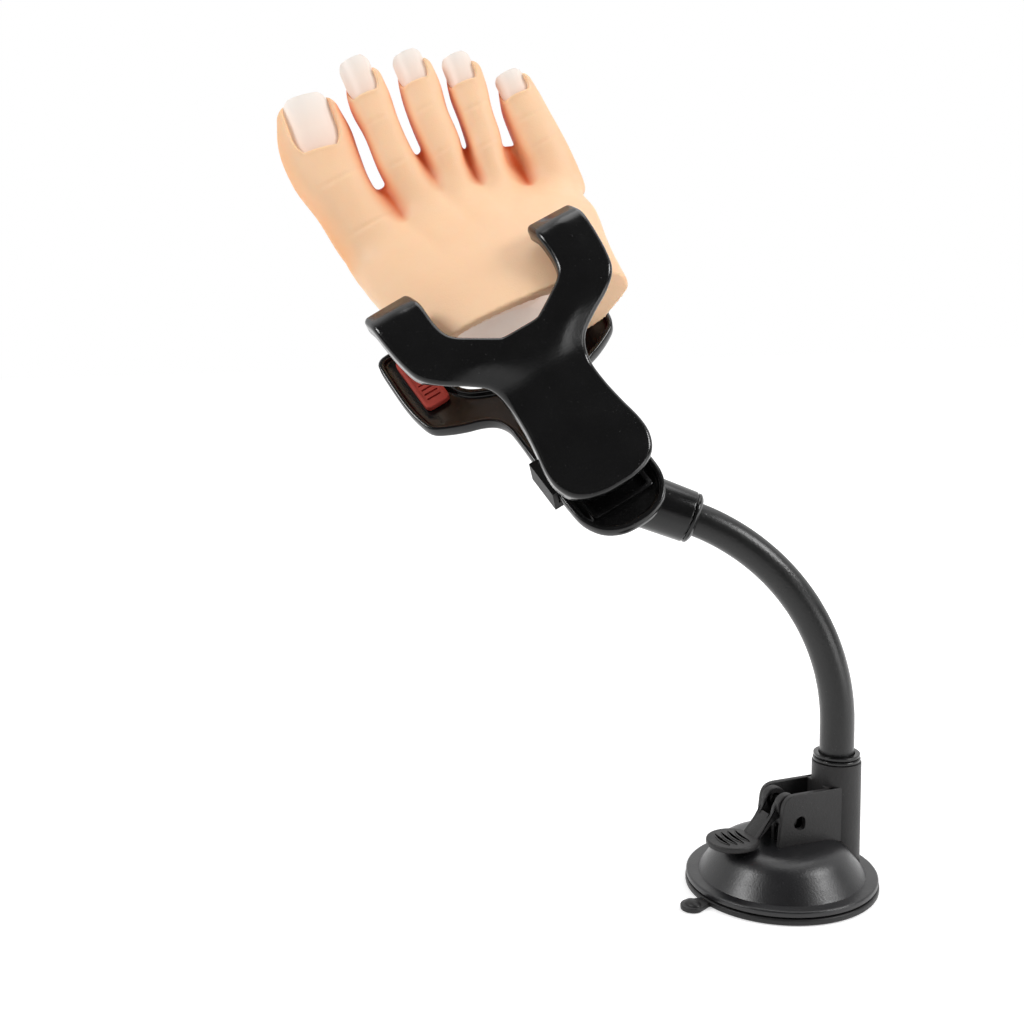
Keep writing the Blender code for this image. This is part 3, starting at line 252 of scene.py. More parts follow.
def corePlastic():
    # beige filler, a little cloudy, with fine casting pits; a faint constant emission paints light onto it
    # where it lies recessed in shade behind the jaws
    made = Finish("corePlastic", {"Specular IOR Level": 0.4, "Emission Color": (0.8, 0.62, 0.52, 1),
                                  "Emission Strength": 0.25})
    cloud = made.noise(70, 4, 0.55)
    made.use("Base Color", made.mix(made.span(cloud, 0.3, 0.7), (0.9, 0.74, 0.65, 1), (0.95, 0.82, 0.74, 1)))
    return made.surface(cloud, 0.5, 0.62, made.noise(900, 3), 0.15, 0.0002)


def steelPin(name, dark, light):
    # drawn wire: fine lines along it
    made = Finish(name, {"Metallic": 1.0})
    brushed = made.noise(500, 3, 0.6, made.stretched((1, 0.05, 1)))
    made.use("Base Color", made.mix(brushed, grey(dark), grey(light)))
    return made.surface(brushed, 0.24, 0.42, brushed, 0.1, 0.0001)


# material, darkest, lightest, tint, roughness, grain scale and depth, specular, dust
plastics = {
    "jaw": ("jawPlastic", 0.0035, 0.005, (1, 1, 1.04), 0.17, 1800, 0.0001, 0.5, 0.25),
    "dome": ("domePlastic", 0.007, 0.01, (1, 0.98, 1.12), 0.34, 1500, 0.0002, 0.6, 0.2),
    "housing": ("housingPlastic", 0.018, 0.024, (1, 0.96, 0.97), 0.46, 1300, 0.0004, 0.35, 0.2),
    "tube": ("tubeSleeve", 0.008, 0.011, (1, 1, 1), 0.3, 1200, 0.0003, 0.5, 0.15),
    "bracket": ("bracketPlastic", 0.004, 0.006, (1, 1, 1), 0.5, 1200, 0.0002, 0.15, 0.2),
    "cup": ("cupRubber", 0.012, 0.016, (1, 0.98, 1), 0.42, 1000, 0.0003, 0.35, 0.2),
}
looks = {key: mouldedPlastic(*row) for key, row in plastics.items()} | {
    "skin": skinSilicone(), "nail": nailPlastic(), "pad": padRubber(), "core": corePlastic(),
    "steel": steelPin("steelPin", 0.42, 0.6), "darkSteel": steelPin("blackedSteel", 0.02, 0.05),
}
print("finishes made")


stage = {"size": 6.0, "drop": 0.3 * mm, "near": 0.08, "far": 0.4, "nearGlow": 0.55, "bounce": 0.2, "room": 0.26,
         "dimRoom": 0.1, "backdropWay": (0.342, 0.94, 0.0)}


def makeFloor(s):
    # a white sheet that keeps the object's shadow; further out it glows up to plain white
    reach, low = s["size"], -s["drop"]
    mesh = bpy.data.meshes.new("floor")
    corners = [(x * reach, y * reach, low) for x, y in ((-1, -1), (1, -1), (1, 1), (-1, 1))]
    mesh.from_pydata(corners, [], [(0, 1, 2, 3)])
    floor = bpy.data.objects.new("floor", mesh)
    bpy.context.scene.collection.objects.link(floor)
    paper = Finish("floorPaper", {"Specular IOR Level": 0.0, "Base Color": grey(0.8), "Emission Strength": 1.0})
    away = paper.node("ShaderNodeVectorMath", {"operation": "LENGTH"}, {0: paper.place()}, "Value")
    behind = paper.facing(paper.place(), s["backdropWay"])
    camera, diffuse, glossy, through = paper.rays("Camera", "Diffuse", "Glossy", "Transmission")
    # gloss sees the glow only on the backdrop's side, and little of it lights the object from below
    seen = paper.span(camera + through + s["bounce"] * diffuse + glossy * paper.span(behind, -0.25, 0.0), 0, 1)
    glow = paper.span(away, s["near"], s["far"], s["nearGlow"], 1.0) * seen
    paper.use("Emission Color", paper.mix(glow, grey(0.0), grey(1.0)))
    paper.use("Roughness", paper.span(paper.noise(8, 2), 0, 1, 0.75, 0.85))
    mesh.materials.append(paper.material)


def makeWorld(s):
    # the camera sees white; gloss sees the white backdrop behind the object and a dim room on the camera's side
    room = Finish("room", {"Color": (1, 1, 1, 1)}, bpy.data.worlds, "Background")
    seen, glossy, through = room.rays("Camera", "Glossy", "Transmission")
    facing = room.facing(room.node("ShaderNodeTexCoord", {}, {}, "Generated"), s["backdropWay"])
    backdrop = room.span(facing, -0.15, 0.35, s["dimRoom"], 1.0)
    plain = room.span(seen + through, 0, 1)
    level = s["room"] + (backdrop - s["room"]) * glossy
    room.use("Strength", level + (1 - level) * plain)
    bpy.context.scene.world = room.material


makeFloor(stage)
makeWorld(stage)
bpy.context.scene.view_settings.view_transform = "Standard"
print("stage set")


# Surfaces

cutAngle = 20  # degrees past which an edge of a plate is drawn sharp


def eased(value, start, run):
    # 0 before the start, 1 after the run, 3t^2 - 2t^3 between
    t = np.clip((value - start) / run, 0, 1)
    return t**2 * (3 - 2 * t)


def addAttributes(mesh, attributes):
    for key, values in attributes.items():
        layer = mesh.attributes.new(key, "FLOAT", "POINT")
        layer.data.foreach_set("value", np.asarray(values, np.float32))


def cleaned(mesh):
    # doubles merged, slivers dissolved, faces turned out
    work = bmesh.new()
    work.from_mesh(mesh)
    bmesh.ops.remove_doubles(work, verts=work.verts, dist=2e-6)
    bmesh.ops.dissolve_degenerate(work, edges=work.edges, dist=1e-7)
    bmesh.ops.recalc_face_normals(work, faces=work.faces)
    work.to_mesh(mesh)
    work.free()


def addPiece(name, mesh, look, body, nodes=()):
    # the object that carries a mesh: its body and the frame's nodes that it stands for
    mesh.materials.clear()
    mesh.materials.append(looks[look])
    piece = bpy.data.objects.new(name, mesh)
    bpy.context.scene.collection.objects.link(piece)
    if body:
        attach(piece, body)
    if nodes:
        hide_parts(*nodes)
    return piece


def makePiece(name, points, faces, look, body, nodes=(), sharp=40, attributes=None):
    mesh = bpy.data.meshes.new(name)
    mesh.from_pydata(np.asarray(points, float).tolist(), [], faces)
    addAttributes(mesh, attributes or {})
    cleaned(mesh)
    mesh.shade_smooth()
    mesh.set_sharp_from_angle(angle=math.radians(sharp))
    return addPiece(name, mesh, look, body, nodes)


def bothSides(near, far):
    return ("left", near, far), ("right", -far, -near)


def ends(rows, count):
    # the two flat faces that close a grid of rings
    return [list(range(count)), list(range((rows - 1) * count, rows * count))]


def gridFaces(rows, columns, loopRows=False):
    # quads between neighbours on a grid of closed rings, whose points are counted row by row
    i = np.arange(rows if loopRows else rows - 1)[:, None]
    j = np.arange(columns)[None, :]
    over, next_ = (j + 1) % columns, (i + 1) % rows
    quads = [i * columns + j, i * columns + over, next_ * columns + over, next_ * columns + j]
    return np.stack(quads, axis=-1).reshape(-1, 4).tolist()


def filleted(corners, radius, steps=5, closed=True):
    # every corner replaced by a parabola between two points at the fillet's tangent length
    corners = np.asarray(corners, float)
    before, after = np.roll(corners, 1, 0), np.roll(corners, -1, 0)
    toBefore, toAfter = before - corners, after - corners
    longBefore = np.maximum(np.linalg.norm(toBefore, axis=1), 1e-9)
    longAfter = np.maximum(np.linalg.norm(toAfter, axis=1), 1e-9)
    reach = np.minimum(radius * np.ones(len(corners)), 0.48 * np.minimum(longBefore, longAfter))
    start = corners + toBefore / longBefore[:, None] * reach[:, None]
    end = corners + toAfter / longAfter[:, None] * reach[:, None]
    t = np.linspace(0, 1, steps + 1)[None, :, None]
    arcs = (1 - t) ** 2 * start[:, None] + 2 * t * (1 - t) * corners[:, None] + t**2 * end[:, None]
    if closed:
        return arcs.reshape(-1, 2)
    inner = arcs[1:-1].reshape(-1, 2)
    return np.vstack([corners[:1], inner, corners[-1:]])


def placed(points, matrix):
    turn = np.array(matrix)
    return points @ turn[:3, :3].T + turn[:3, 3]


def lathe(name, profile, look, body, nodes=(), matrix=Matrix.Identity(4), sides=96, closed=False):
    # the profile of radius and height turned about Z: (r cos a, r sin a, h)
    profile = np.asarray(profile, float)
    angle = 2 * np.pi * np.arange(sides) / sides
    radius, height = profile[:, :1], profile[:, 1:]
    grid = np.stack([radius * np.cos(angle), radius * np.sin(angle), height + 0 * angle], axis=-1)
    points = placed(grid.reshape(-1, 3), matrix)
    return makePiece(name, points, gridFaces(len(profile), sides, closed), look, body, nodes)


def outlineNormals(loop):
    ahead = np.roll(loop, -1, 0) - np.roll(loop, 1, 0)
    ahead /= np.maximum(np.linalg.norm(ahead, axis=1), 1e-12)[:, None]
    area = np.sum(loop[:, 0] * np.roll(loop[:, 1], -1) - np.roll(loop[:, 0], -1) * loop[:, 1])
    return np.stack([-ahead[:, 1], ahead[:, 0]], axis=1) * np.sign(area)


def plateGrid(loop, low, high, edge, steps=4):
    # the outline carried up a rounded edge: inset e(1 - cos a), height e sin a, and back down
    inward = outlineNormals(loop)
    angle = np.linspace(0, np.pi / 2, steps + 1)
    inset = edge * (1 - np.cos(angle))
    rise = edge * (1 - np.sin(angle))
    insets = np.concatenate([inset[::-1], inset])
    heights = np.concatenate([low + rise[::-1], high - rise])
    flat = loop[None] + inward[None] * insets[:, None, None]
    tall = np.broadcast_to(heights[:, None, None], (*flat.shape[:2], 1))
    return np.concatenate([flat, tall], axis=-1)


def plate(name, loop, low, high, edge, look, body, nodes=(), matrix=Matrix.Identity(4)):
    loop = np.asarray(loop, float)
    grid = plateGrid(loop, low, high, edge)
    rows, count = grid.shape[:2]
    faces = gridFaces(rows, count) + ends(rows, count)
    return makePiece(name, placed(grid.reshape(-1, 3), matrix), faces, look, body, nodes, cutAngle)


def bar(name, radius, low, high, look, body, nodes=(), matrix=Matrix.Identity(4), edge=0.2 * mm):
    profile = filleted([(0, low), (radius, low), (radius, high), (0, high)], edge, 4, False)
    return lathe(name, profile, look, body, nodes, matrix, 48)


sideways = Matrix.Rotation(math.radians(-90), 4, "X")  # turns a lathe's Z onto +Y
upright = Matrix(((1, 0, 0, 0), (0, 0, -1, 0), (0, 1, 0, 0), (0, 0, 0, 1)))  # a plate's (x, y, z) to (x, -z, y)


# Suction base

base = {
    "lipRadius": 33.5 * mm, "lipThickness": 2.2 * mm, "padFloor": 1.4 * mm,
    "ringRadius": 12.6 * mm, "ringHeight": 5.0 * mm, "stemFootRadius": 8.6 * mm,
    "tabLength": 9.5 * mm, "tabHalfWidth": 4.2 * mm, "tabBump": 1.4 * mm, "tabAngle": math.radians(-171),
    "flangeRadius": 33.2 * mm, "flangeLow": 2.5 * mm, "flangeTop": 4.8 * mm,
    "domeRadius": 29.0 * mm, "domeHeight": 12.1 * mm, "domeWall": 2.2 * mm, "shoulder": 0.71,
    "socketX": 22.4 * mm, "socketRadius": 8.6 * mm, "socketTop": 42.0 * mm, "boreFloor": 24.0 * mm,
    "cheekHalf": 8.0 * mm, "cheekThick": 2.1 * mm, "cheekTop": 34.7 * mm, "cheekFront": -6.0 * mm,
    "cheekLean": 2.2 * mm, "window": (2.3 * mm, 2.5 * mm, 0.7 * mm), "windowPlace": (2.3 * mm, 24.3 * mm),
    "tube": 6.0 * mm, "gap": 0.3 * mm, "hollow": 0.4 * mm, "grip": (9 * mm, 7 * mm),
    "mouth": (7.5 * mm, 4.3 * mm),
    "tabNeck": 0.62, "tabOverlap": 2 * mm, "tabRoot": 0.5 * mm, "tabThick": 1.7 * mm, "bumpLow": 1.4 * mm,
    "bumpWide": 1.35, "cheekLow": 15.0 * mm, "cheekRounds": np.array([0.6, 0.6, 5.0, 0.6]) * mm,
    "web": (3 * mm, 8 * mm), "webInset": 0.2 * mm,
    "round": {"cup": 0.7 * mm, "dome": 5.5 * mm, "flange": 0.8 * mm, "socket": 0.35 * mm, "tab": 0.4 * mm},
}


def makeBase(s):
    lip, gap, rounds = s["lipRadius"], s["gap"], s["round"]
    hole = s["stemFootRadius"] + 2 * gap
    hollowEnd, gripStart = (lip - width for width in s["grip"])
    ring, ringTop, floor = s["ringRadius"], s["ringHeight"], s["padFloor"]
    corners = [(0, s["hollow"]), (hollowEnd, s["hollow"]), (gripStart, 0), (lip, 0), (lip, s["lipThickness"]),
               (ring, s["lipThickness"]), (ring, ringTop), (hole, ringTop), (hole, floor), (0, floor)]
    lathe("suctionCup", filleted(corners, rounds["cup"], 5, False), "cup", "base", ("suction_pad",), sides=128)
    makeTab(s)
    # dome: a cone whose shoulder is a parabola into the flat top; the inside is the same, drawn in by the wall
    wide, tall, wall = s["domeRadius"], s["domeHeight"], s["domeWall"]
    slope = filleted([(0, tall), (s["shoulder"] * wide, 0.95 * tall), (wide, 0)], rounds["dome"], 14, False)
    shell = (slope + (0, s["flangeTop"]))[::-1]
    inner = slope * (1 - wall / wide, 1 - wall / tall) + (0, s["flangeTop"] - wall)
    flange = [(wide - wall, s["flangeLow"]), (s["flangeRadius"], s["flangeLow"]),
              (s["flangeRadius"], s["flangeTop"]), (wide + 0.2 * mm, s["flangeTop"])]
    flange = filleted(flange, rounds["flange"], 5, False)
    lathe("suctionDome", np.vstack([inner[:-1], flange, shell]), "dome", "base", ("base_housing",), sides=160)
    place = Matrix.Translation((s["socketX"], 0, 0))
    bore = s["tube"] + gap
    mouth, mouthFloor = s["mouth"][0], s["socketTop"] - s["mouth"][1]
    low, wide, top = s["flangeLow"] + gap, s["socketRadius"], s["socketTop"]
    corners = [(0, low), (wide, low), (wide, top), (mouth, top), (mouth, mouthFloor), (bore, mouthFloor),
               (bore, s["boreFloor"]), (0, s["boreFloor"])]
    lathe("armSocket", filleted(corners, rounds["socket"], 4, False), "housing", "base", (), place)
    makeCheeks(s)


def makeTab(s):
    # a tongue on the lip, its end a half circle, with a lens shaped bump to push on
    reach, half = s["lipRadius"] + s["tabLength"], s["tabHalfWidth"]
    neck, start, near = half * s["tabNeck"], s["lipRadius"] - s["tabOverlap"], s["lipRadius"] + s["tabRoot"]
    angle = np.linspace(-np.pi / 2, np.pi / 2, 25)
    end = np.stack([reach - half + half * np.cos(angle), half * np.sin(angle)], axis=1)
    loop = np.vstack([[(start, -neck), (near, -neck)], end, [(near, neck), (start, neck)]])
    place = Matrix.Rotation(s["tabAngle"], 4, "Z")
    plate("pullTab", loop, 0, s["tabThick"], s["round"]["tab"], "cup", "base", (), place)
    share = np.linspace(0, 1, 12)[:, None]
    angle = np.linspace(0, 2 * np.pi, 48, endpoint=False)
    wide = neck * np.sqrt(1 - share**2)
    bump = np.stack([reach - half + wide * np.cos(angle), s["bumpWide"] * wide * np.sin(angle),
                     s["bumpLow"] + (s["tabBump"] + s["gap"]) * share + 0 * angle], axis=-1)
    faces = gridFaces(12, 48) + [list(range(48))]
    makePiece("tabBump", placed(bump.reshape(-1, 3), place), faces, "cup", "base", ())


def cutThrough(piece, loop, low, high, place):
    # a prism on the loop taken out of the piece
    count = len(loop)
    points = np.vstack([np.column_stack([loop, np.full(count, level)]) for level in (low, high)])
    faces = gridFaces(2, count) + ends(2, count)
    cutter = makePiece("cutter", placed(points, place), faces, "housing", None)
    change = piece.modifiers.new("Window", "BOOLEAN")
    change.operation, change.solver, change.object = "DIFFERENCE", "EXACT", cutter
    graph = bpy.context.evaluated_depsgraph_get()
    cut = bpy.data.meshes.new_from_object(piece.evaluated_get(graph))
    cut.shade_smooth()
    cut.set_sharp_from_angle(angle=math.radians(cutAngle))
    piece.modifiers.clear()
    piece.data = cut
    bpy.data.objects.remove(cutter)


def makeCheeks(s):
    # two side plates of the lever bracket, joined to the socket, each with a kidney shaped window
    low, high, front = s["cheekLow"], s["cheekTop"], s["cheekFront"]
    outline = [(s["socketX"], low), (s["socketX"], high), (front + s["cheekLean"], high), (front, low)]
    loop = filleted(outline, s["cheekRounds"], 8)
    # window: an oval whose centre line bows sideways, x = a cos t + c (sin t)^2, z = b sin t
    turn = 2 * np.pi * np.arange(40) / 40
    across, tall, bow = s["window"]
    centreX, centreZ = s["windowPlace"]
    windowX = centreX + across * np.cos(turn) + bow * np.sin(turn) ** 2
    window = np.stack([windowX, centreZ + tall * np.sin(turn)], axis=1)
    outer = s["cheekHalf"]
    inner = outer - s["cheekThick"]
    for side, y0, y1 in bothSides(inner, outer):
        cheek = plate(f"leverCheek.{side}", loop, -y1, -y0, s["round"]["socket"], "housing", "base", (),
                      upright)
        cutThrough(cheek, window, -y1 - mm, -y0 + mm, upright)
    near, far = (s["socketX"] - away for away in s["web"])
    web = filleted([(near, low), (near, high), (far, high), (far, low)], s["round"]["tab"], 3)
    half = outer - s["webInset"]
    plate("cheekWeb", web, -half, half, s["webInset"], "housing", "base", (), upright)


makeBase(base)
print("base made")


# Lever

lever = {
    "pivot": (-0.8 * mm, 0, 30.2 * mm), "pinRadius": 1.5 * mm, "barrel": 4.1 * mm, "half": 5.5 * mm,
    "slotHalf": 2.5 * mm, "strapHalf": 4.2 * mm, "bore": 1.8 * mm, "neckOverlap": 0.3 * mm, "pinOver": 1.7 * mm,
    "thumbRadius": 9.1 * mm, "thumbThick": 2.1 * mm, "thumbX": -19.6 * mm, "thumbTop": 19.6 * mm,
    "linkX": 1.5 * mm, "linkZ": 24.3 * mm, "linkRadius": 1.4 * mm, "linkHalf": 5.6 * mm,
    "ridges": 4, "pitch": 2.6 * mm, "ridgeReach": 0.62, "ridgeHalf": 0.38 * mm,
    "ridgeHeights": (-0.3 * mm, 0.26 * mm),
    # the strap seen from the side, in barrel radii, with its thumb end between the two parts
    "strapTop": ((-0.35, 0.9), (-1.15, 0.1), (-1.3, -0.7)), "strapUnder": ((-1.05, -1.2), (-0.2, -0.95)),
    "strapRounds": np.array([1.0, 1.6, 2.4, 0.3, 0.3, 2.6, 0.8]) * mm,
    "neckTop": (-1.35, -0.75), "neckUnder": (-1.25, -1.25),
}


def makeLever(s):
    pivot = Vector(s["pivot"])
    place = Matrix.Translation(pivot)
    r = s["barrel"]
    for side, low, high in bothSides(s["slotHalf"], s["half"]):
        ring = [(s["bore"], low), (r, low), (r, high), (s["bore"], high)]
        lathe(f"leverBarrel.{side}", filleted(ring, 0.5 * mm, 4), "housing", "lever", ("lock_lever",),
              place @ sideways, 64, True)
    tipX, tipZ = s["thumbX"] - pivot.x, s["thumbTop"] - pivot.z
    joinX = tipX + s["thumbRadius"] * 0.75
    join = [(joinX, tipZ), (joinX, tipZ - 0.9 * s["thumbThick"])]
    outline = np.vstack([np.array(s["strapTop"]) * r, join, np.array(s["strapUnder"]) * r])
    loop = filleted(outline, s["strapRounds"], 6)
    for side, y0, y1 in bothSides(s["slotHalf"], s["strapHalf"]):
        plate(f"leverStrap.{side}", loop, -y1, -y0, 0.3 * mm, "housing", "lever", (), place @ upright)
    neck = filleted(np.vstack([np.array(s["neckTop"]) * r, join, np.array(s["neckUnder"]) * r]), 0.4 * mm, 4)
    half = s["slotHalf"] + s["neckOverlap"]
    plate("leverNeck", neck, -half, half, 0.1 * mm, "housing", "lever", (), place @ upright)
    thumb = place @ Matrix.Translation((tipX, 0, tipZ))
    radius, thick = s["thumbRadius"], s["thumbThick"]
    profile = [(0, -thick), (radius, -thick), (radius, 0), (0, 0)]
    lathe("thumbDisc", filleted(profile, 0.7 * mm, 5, False), "housing", "lever", (), thumb, 96)
    for i in range(s["ridges"]):
        makeRidge(s, thumb, i)
    y = s["half"] + s["pinOver"]
    bar("leverPin", s["pinRadius"], -y, y, "darkSteel", "base", ("lever_pin",), place @ sideways)
    bar("linkPin", s["linkRadius"], -s["linkHalf"], s["linkHalf"], "darkSteel", "stem", ("link_pin",),
        Matrix.Translation((s["linkX"], 0, s["linkZ"])) @ sideways)


def makeRidge(s, thumb, i):
    # a curved grip line: a crescent whose sides bow by half the pitch
    x = (i - (s["ridges"] - 1) / 2) * s["pitch"]
    reach = math.sqrt(s["thumbRadius"] ** 2 - x**2) * s["ridgeReach"]
    t = np.linspace(-1, 1, 15)
    bulge = 0.5 * s["pitch"] * (1 - t**2)
    half = s["ridgeHalf"] * np.sqrt(np.maximum(1.02 - t**2, 0.02))
    right = np.stack([x - bulge + half, reach * t], axis=1)
    left = np.stack([x - bulge - half, reach * t], axis=1)[::-1]
    plate(f"gripRidge.{i + 1}", np.vstack([right, left]), *s["ridgeHeights"], 0.18 * mm, "housing", "lever", (),
          thumb)


makeLever(lever)
print("lever made")


# Bendable arm

arm = {
    "root": (22.4 * mm, 0, 0), "turn": math.radians(156), "straightTop": 55.5 * mm, "bendRadius": 79.0 * mm,
    "bend": math.radians(69), "joints": (0.02, 0.46, 0.88), "radius": 6.0 * mm, "start": 24.4 * mm,
    "collarTop": 42.3 * mm, "blendReach": 0.11, "clearance": 0.3 * mm,
    # the collar above the bore: radius and height of each corner
    "collar": ((7.2, -4), (7.2, 0), (8.3, 0), (8.3, 1.0), (7.5, 1.3), (8.1, 1.6), (8.1, 2.6)),
}
armOut = Vector((math.cos(arm["turn"]), math.sin(arm["turn"]), 0))


def armFrames(angle):
    # points and axes of the centreline: a circle of the bend radius in a leaning upright plane
    angle = np.asarray(angle, float)[..., None]
    out, up = np.array(armOut), np.array([0, 0, 1.0])
    side = np.cross(up, out)
    bend = np.maximum(angle, 0)
    straight = np.minimum(angle, 0) * arm["bendRadius"]
    centre = (np.array(arm["root"]) + out * arm["bendRadius"] * (1 - np.cos(bend))
              + up * (arm["straightTop"] + arm["bendRadius"] * np.sin(bend) + straight))
    along = out * np.sin(bend) + up * np.cos(bend)
    across = np.cross(side + 0 * along, along)
    return centre, across, side + 0 * along, along


def armMatrix(angle):
    centre, across, side, along = armFrames(angle)
    turn = Matrix((across.tolist(), side.tolist(), along.tolist())).transposed().to_4x4()
    return Matrix.Translation(centre.tolist()) @ turn


def tubePiece(name, low, high, nodes):
    # a circle carried along the centreline, with flat ends
    s = arm
    steps = max(8, int((high - low) * s["bendRadius"] / (1.5 * mm)))
    angle = np.linspace(low, high, steps)
    centre, across, side, along = armFrames(angle)
    turn = 2 * np.pi * np.arange(64) / 64
    ring = across[:, None] * np.cos(turn)[None, :, None] + side[:, None] * np.sin(turn)[None, :, None]
    grid = centre[:, None] + ring * s["radius"]
    return makePiece(name, grid.reshape(-1, 3), gridFaces(steps, 64) + ends(steps, 64), "tube", None, nodes)


def makeArm(s):
    joints = [s["bend"] * share for share in s["joints"]]
    first = (s["start"] - s["straightTop"]) / s["bendRadius"]
    cuts = [first, (joints[0] + joints[1]) / 2, (joints[1] + joints[2]) / 2, s["bend"]]
    pairs = [("base", "lower_arm"), ("lower_arm", "middle_arm"), ("middle_arm", "upper_arm")]
    nodes = [("arm_root", "arm_lower"), ("arm_middle",), ("arm_upper",)]
    for i, (a, b) in enumerate(pairs):
        piece = tubePiece(f"armTube.{i + 1}", cuts[i], cuts[i + 1], nodes[i])
        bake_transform(piece)
    place = Matrix.Translation((s["root"][0], 0, s["collarTop"]))
    bore = s["radius"] + s["clearance"]
    collar = np.array(s["collar"]) * mm
    corners = np.vstack([(bore, collar[0, 1]), collar, (bore, collar[-1, 1])])
    lathe("armCollar", filleted(corners, 0.25 * mm, 4), "jaw", "base", ("arm_collar",), place, closed=True)


makeArm(arm)

sleeve = {"small": 9.2 * mm, "large": 9.7 * mm, "length": 21.0 * mm, "ringLength": 2.2 * mm, "ring": 9.0 * mm,
          "ringSlope": 1.4 * mm, "knuckle": 7.0 * mm, "inside": 8.0 * mm, "reach": 37.0 * mm,
          "tubeEnd": 8.3 * mm}


def makeSleeve(s):
    place = armMatrix(arm["bend"])
    gap = arm["clearance"]
    bore = arm["radius"] + gap
    half = s["ringLength"] / 2
    ring = [(bore, -half), (s["ring"] - s["ringSlope"], -half), (s["ring"], 0), (s["ring"], half), (bore, half)]
    lathe("sleeveRing", filleted(ring, 0.4 * mm, 5), "jaw", "upper_arm", ("sleeve_ring",), place, closed=True)
    start = half + gap
    end = start + s["length"]
    socket, floor = s["knuckle"] + gap, end - s["inside"] - gap
    corners = [(0, s["tubeEnd"]), (bore, s["tubeEnd"]), (bore, start), (s["small"], start), (s["large"], end),
               (socket, end), (socket, floor), (0, floor)]
    lathe("armSleeve", filleted(corners, 0.5 * mm, 5, False), "jaw", "upper_arm", ("arm_sleeve",), place)
    bar("knuckleNeck", s["knuckle"], end - s["inside"], s["reach"], "jaw", "knuckle", ("swivel_knuckle",),
        place, 0.5 * mm)


makeSleeve(sleeve)
print("arm made")


# Clamp

clampTurn = {"heading": 110.5, "pitch": -39.5, "roll": -37.1}
heading, pitch, roll = (math.radians(clampTurn[key]) for key in ("heading", "pitch", "roll"))
clampCentre, _, _, armEnd = (Vector(v.tolist()) for v in armFrames(arm["bend"]))
clamp = (Matrix.Translation(clampCentre + armEnd * sleeve["reach"]) @ Matrix.Rotation(heading, 4, "Z")
         @ Matrix.Rotation(pitch, 4, "Y") @ Matrix.Rotation(roll, 4, "X"))

jaw = {
    "wall": 2.4 * mm, "round": 1.8 * mm, "crown": 0.9 * mm,
    "rearBack": 12.7 * mm, "hingeX": 5.0 * mm, "hingeRise": 10.6 * mm, "openAngle": math.radians(13.5),
    "frontFace": 9.5 * mm, "rearLength": 113.5 * mm, "rearHalf": 41.0 * mm, "frontLength": 100.4 * mm,
    "frontHalf": 41.4 * mm,
    "rearBow": ((20.0 * mm, 12.0 * mm, math.radians(10)), (36.0 * mm, 12.0 * mm, math.radians(-10))),
    "frontBow": ((18.0 * mm, 12.0 * mm, math.radians(33)), (37.0 * mm, 12.0 * mm, math.radians(-33))),
    "hook": (65.0 * mm, 9.0 * mm, math.radians(-42)),
    # inset and depth of each corner from the hollow's floor over the rim to the outer edge
    "rim": np.array([(3.2, -2.4), (2.4, -2.65), (2.0, -3.2), (2.0, -4.6), (1.6, -5.0), (0.4, -5.0),
                     (0, -4.6)]) * mm,
    "loopStep": 1.3 * mm, "netStep": 2.4 * mm, "crownRun": 7 * mm, "sheetCrown": 0.2 * mm,
    "latch": {"x": -15.0 * mm, "halfLength": 5.0 * mm, "halfWidth": 10.0 * mm, "wall": 1.6 * mm,
              "height": 1.6 * mm, "sunk": 0.4 * mm, "corner": 0.8 * mm,
              "ear": 4.0 * mm, "earThick": 2.4 * mm, "earY": 12.8 * mm, "earGap": 0.3 * mm},
    "rearPad": (51.5 * mm, 77.0 * mm, 25.2 * mm, 35.0 * mm),
    "frontPad": (45.0 * mm, 59.0 * mm, 26.2 * mm, 36.6 * mm),
    "padThick": (2.4 * mm, 1.8 * mm), "padGap": 0.3 * mm,
}
# a pad's field and grooves: how far each is drawn in from the border, its depth and its corners' rounding
field = {"inset": 1.3 * mm, "depth": 0.35 * mm, "round": 1.6 * mm}
grip = {"count": 4, "start": 3.4 * mm, "pitch": 2.3 * mm, "width": 0.8 * mm, "inset": 2.2 * mm,
        "depth": 1.1 * mm, "round": 0.3 * mm, "end": 3 * mm}
rearOutline = (
    (-0.275, 0), (-0.268, 0.16), (-0.236, 0.3), (-0.18, 0.385), (-0.11, 0.405), (0, 0.405),
    (0.09, 0.4), (0.184, 0.395), (0.233, 0.405), (0.273, 0.459), (0.3, 0.556), (0.32, 0.683),
    (0.349, 0.824), (0.383, 0.934), (0.44, 0.98), (0.511, 1), (0.61, 0.998), (0.692, 0.985),
    (0.717, 0.945), (0.725, 0.87), (0.725, 0.66), (0.715, 0.58), (0.68, 0.552), (0.56, 0.547),
    (0.505, 0.535), (0.476, 0.51), (0.452, 0.465), (0.432, 0.395), (0.395, 0.21), (0.383, 0.145),
    (0.3815, 0),
)
frontOutline = (
    (-0.191, 0), (-0.189, 0.13), (-0.175, 0.262), (-0.143, 0.375), (-0.09, 0.437), (-0.027, 0.443),
    (0.059, 0.41), (0.146, 0.386), (0.234, 0.388), (0.301, 0.449), (0.345, 0.58), (0.395, 0.773),
    (0.449, 0.899), (0.518, 0.955), (0.632, 0.99), (0.77, 1), (0.794, 0.985), (0.803, 0.945),
    (0.809, 0.66), (0.808, 0.6), (0.79, 0.567), (0.71, 0.557), (0.627, 0.557), (0.58, 0.546),
    (0.546, 0.52), (0.521, 0.47), (0.501, 0.4), (0.451, 0.215), (0.4385, 0.155), (0.437, 0),
)
hinge = clamp @ Matrix.Translation((jaw["hingeX"], 0, jaw["rearBack"] + jaw["hingeRise"]))
front = hinge @ Matrix.Rotation(-jaw["openAngle"], 4, "Y")


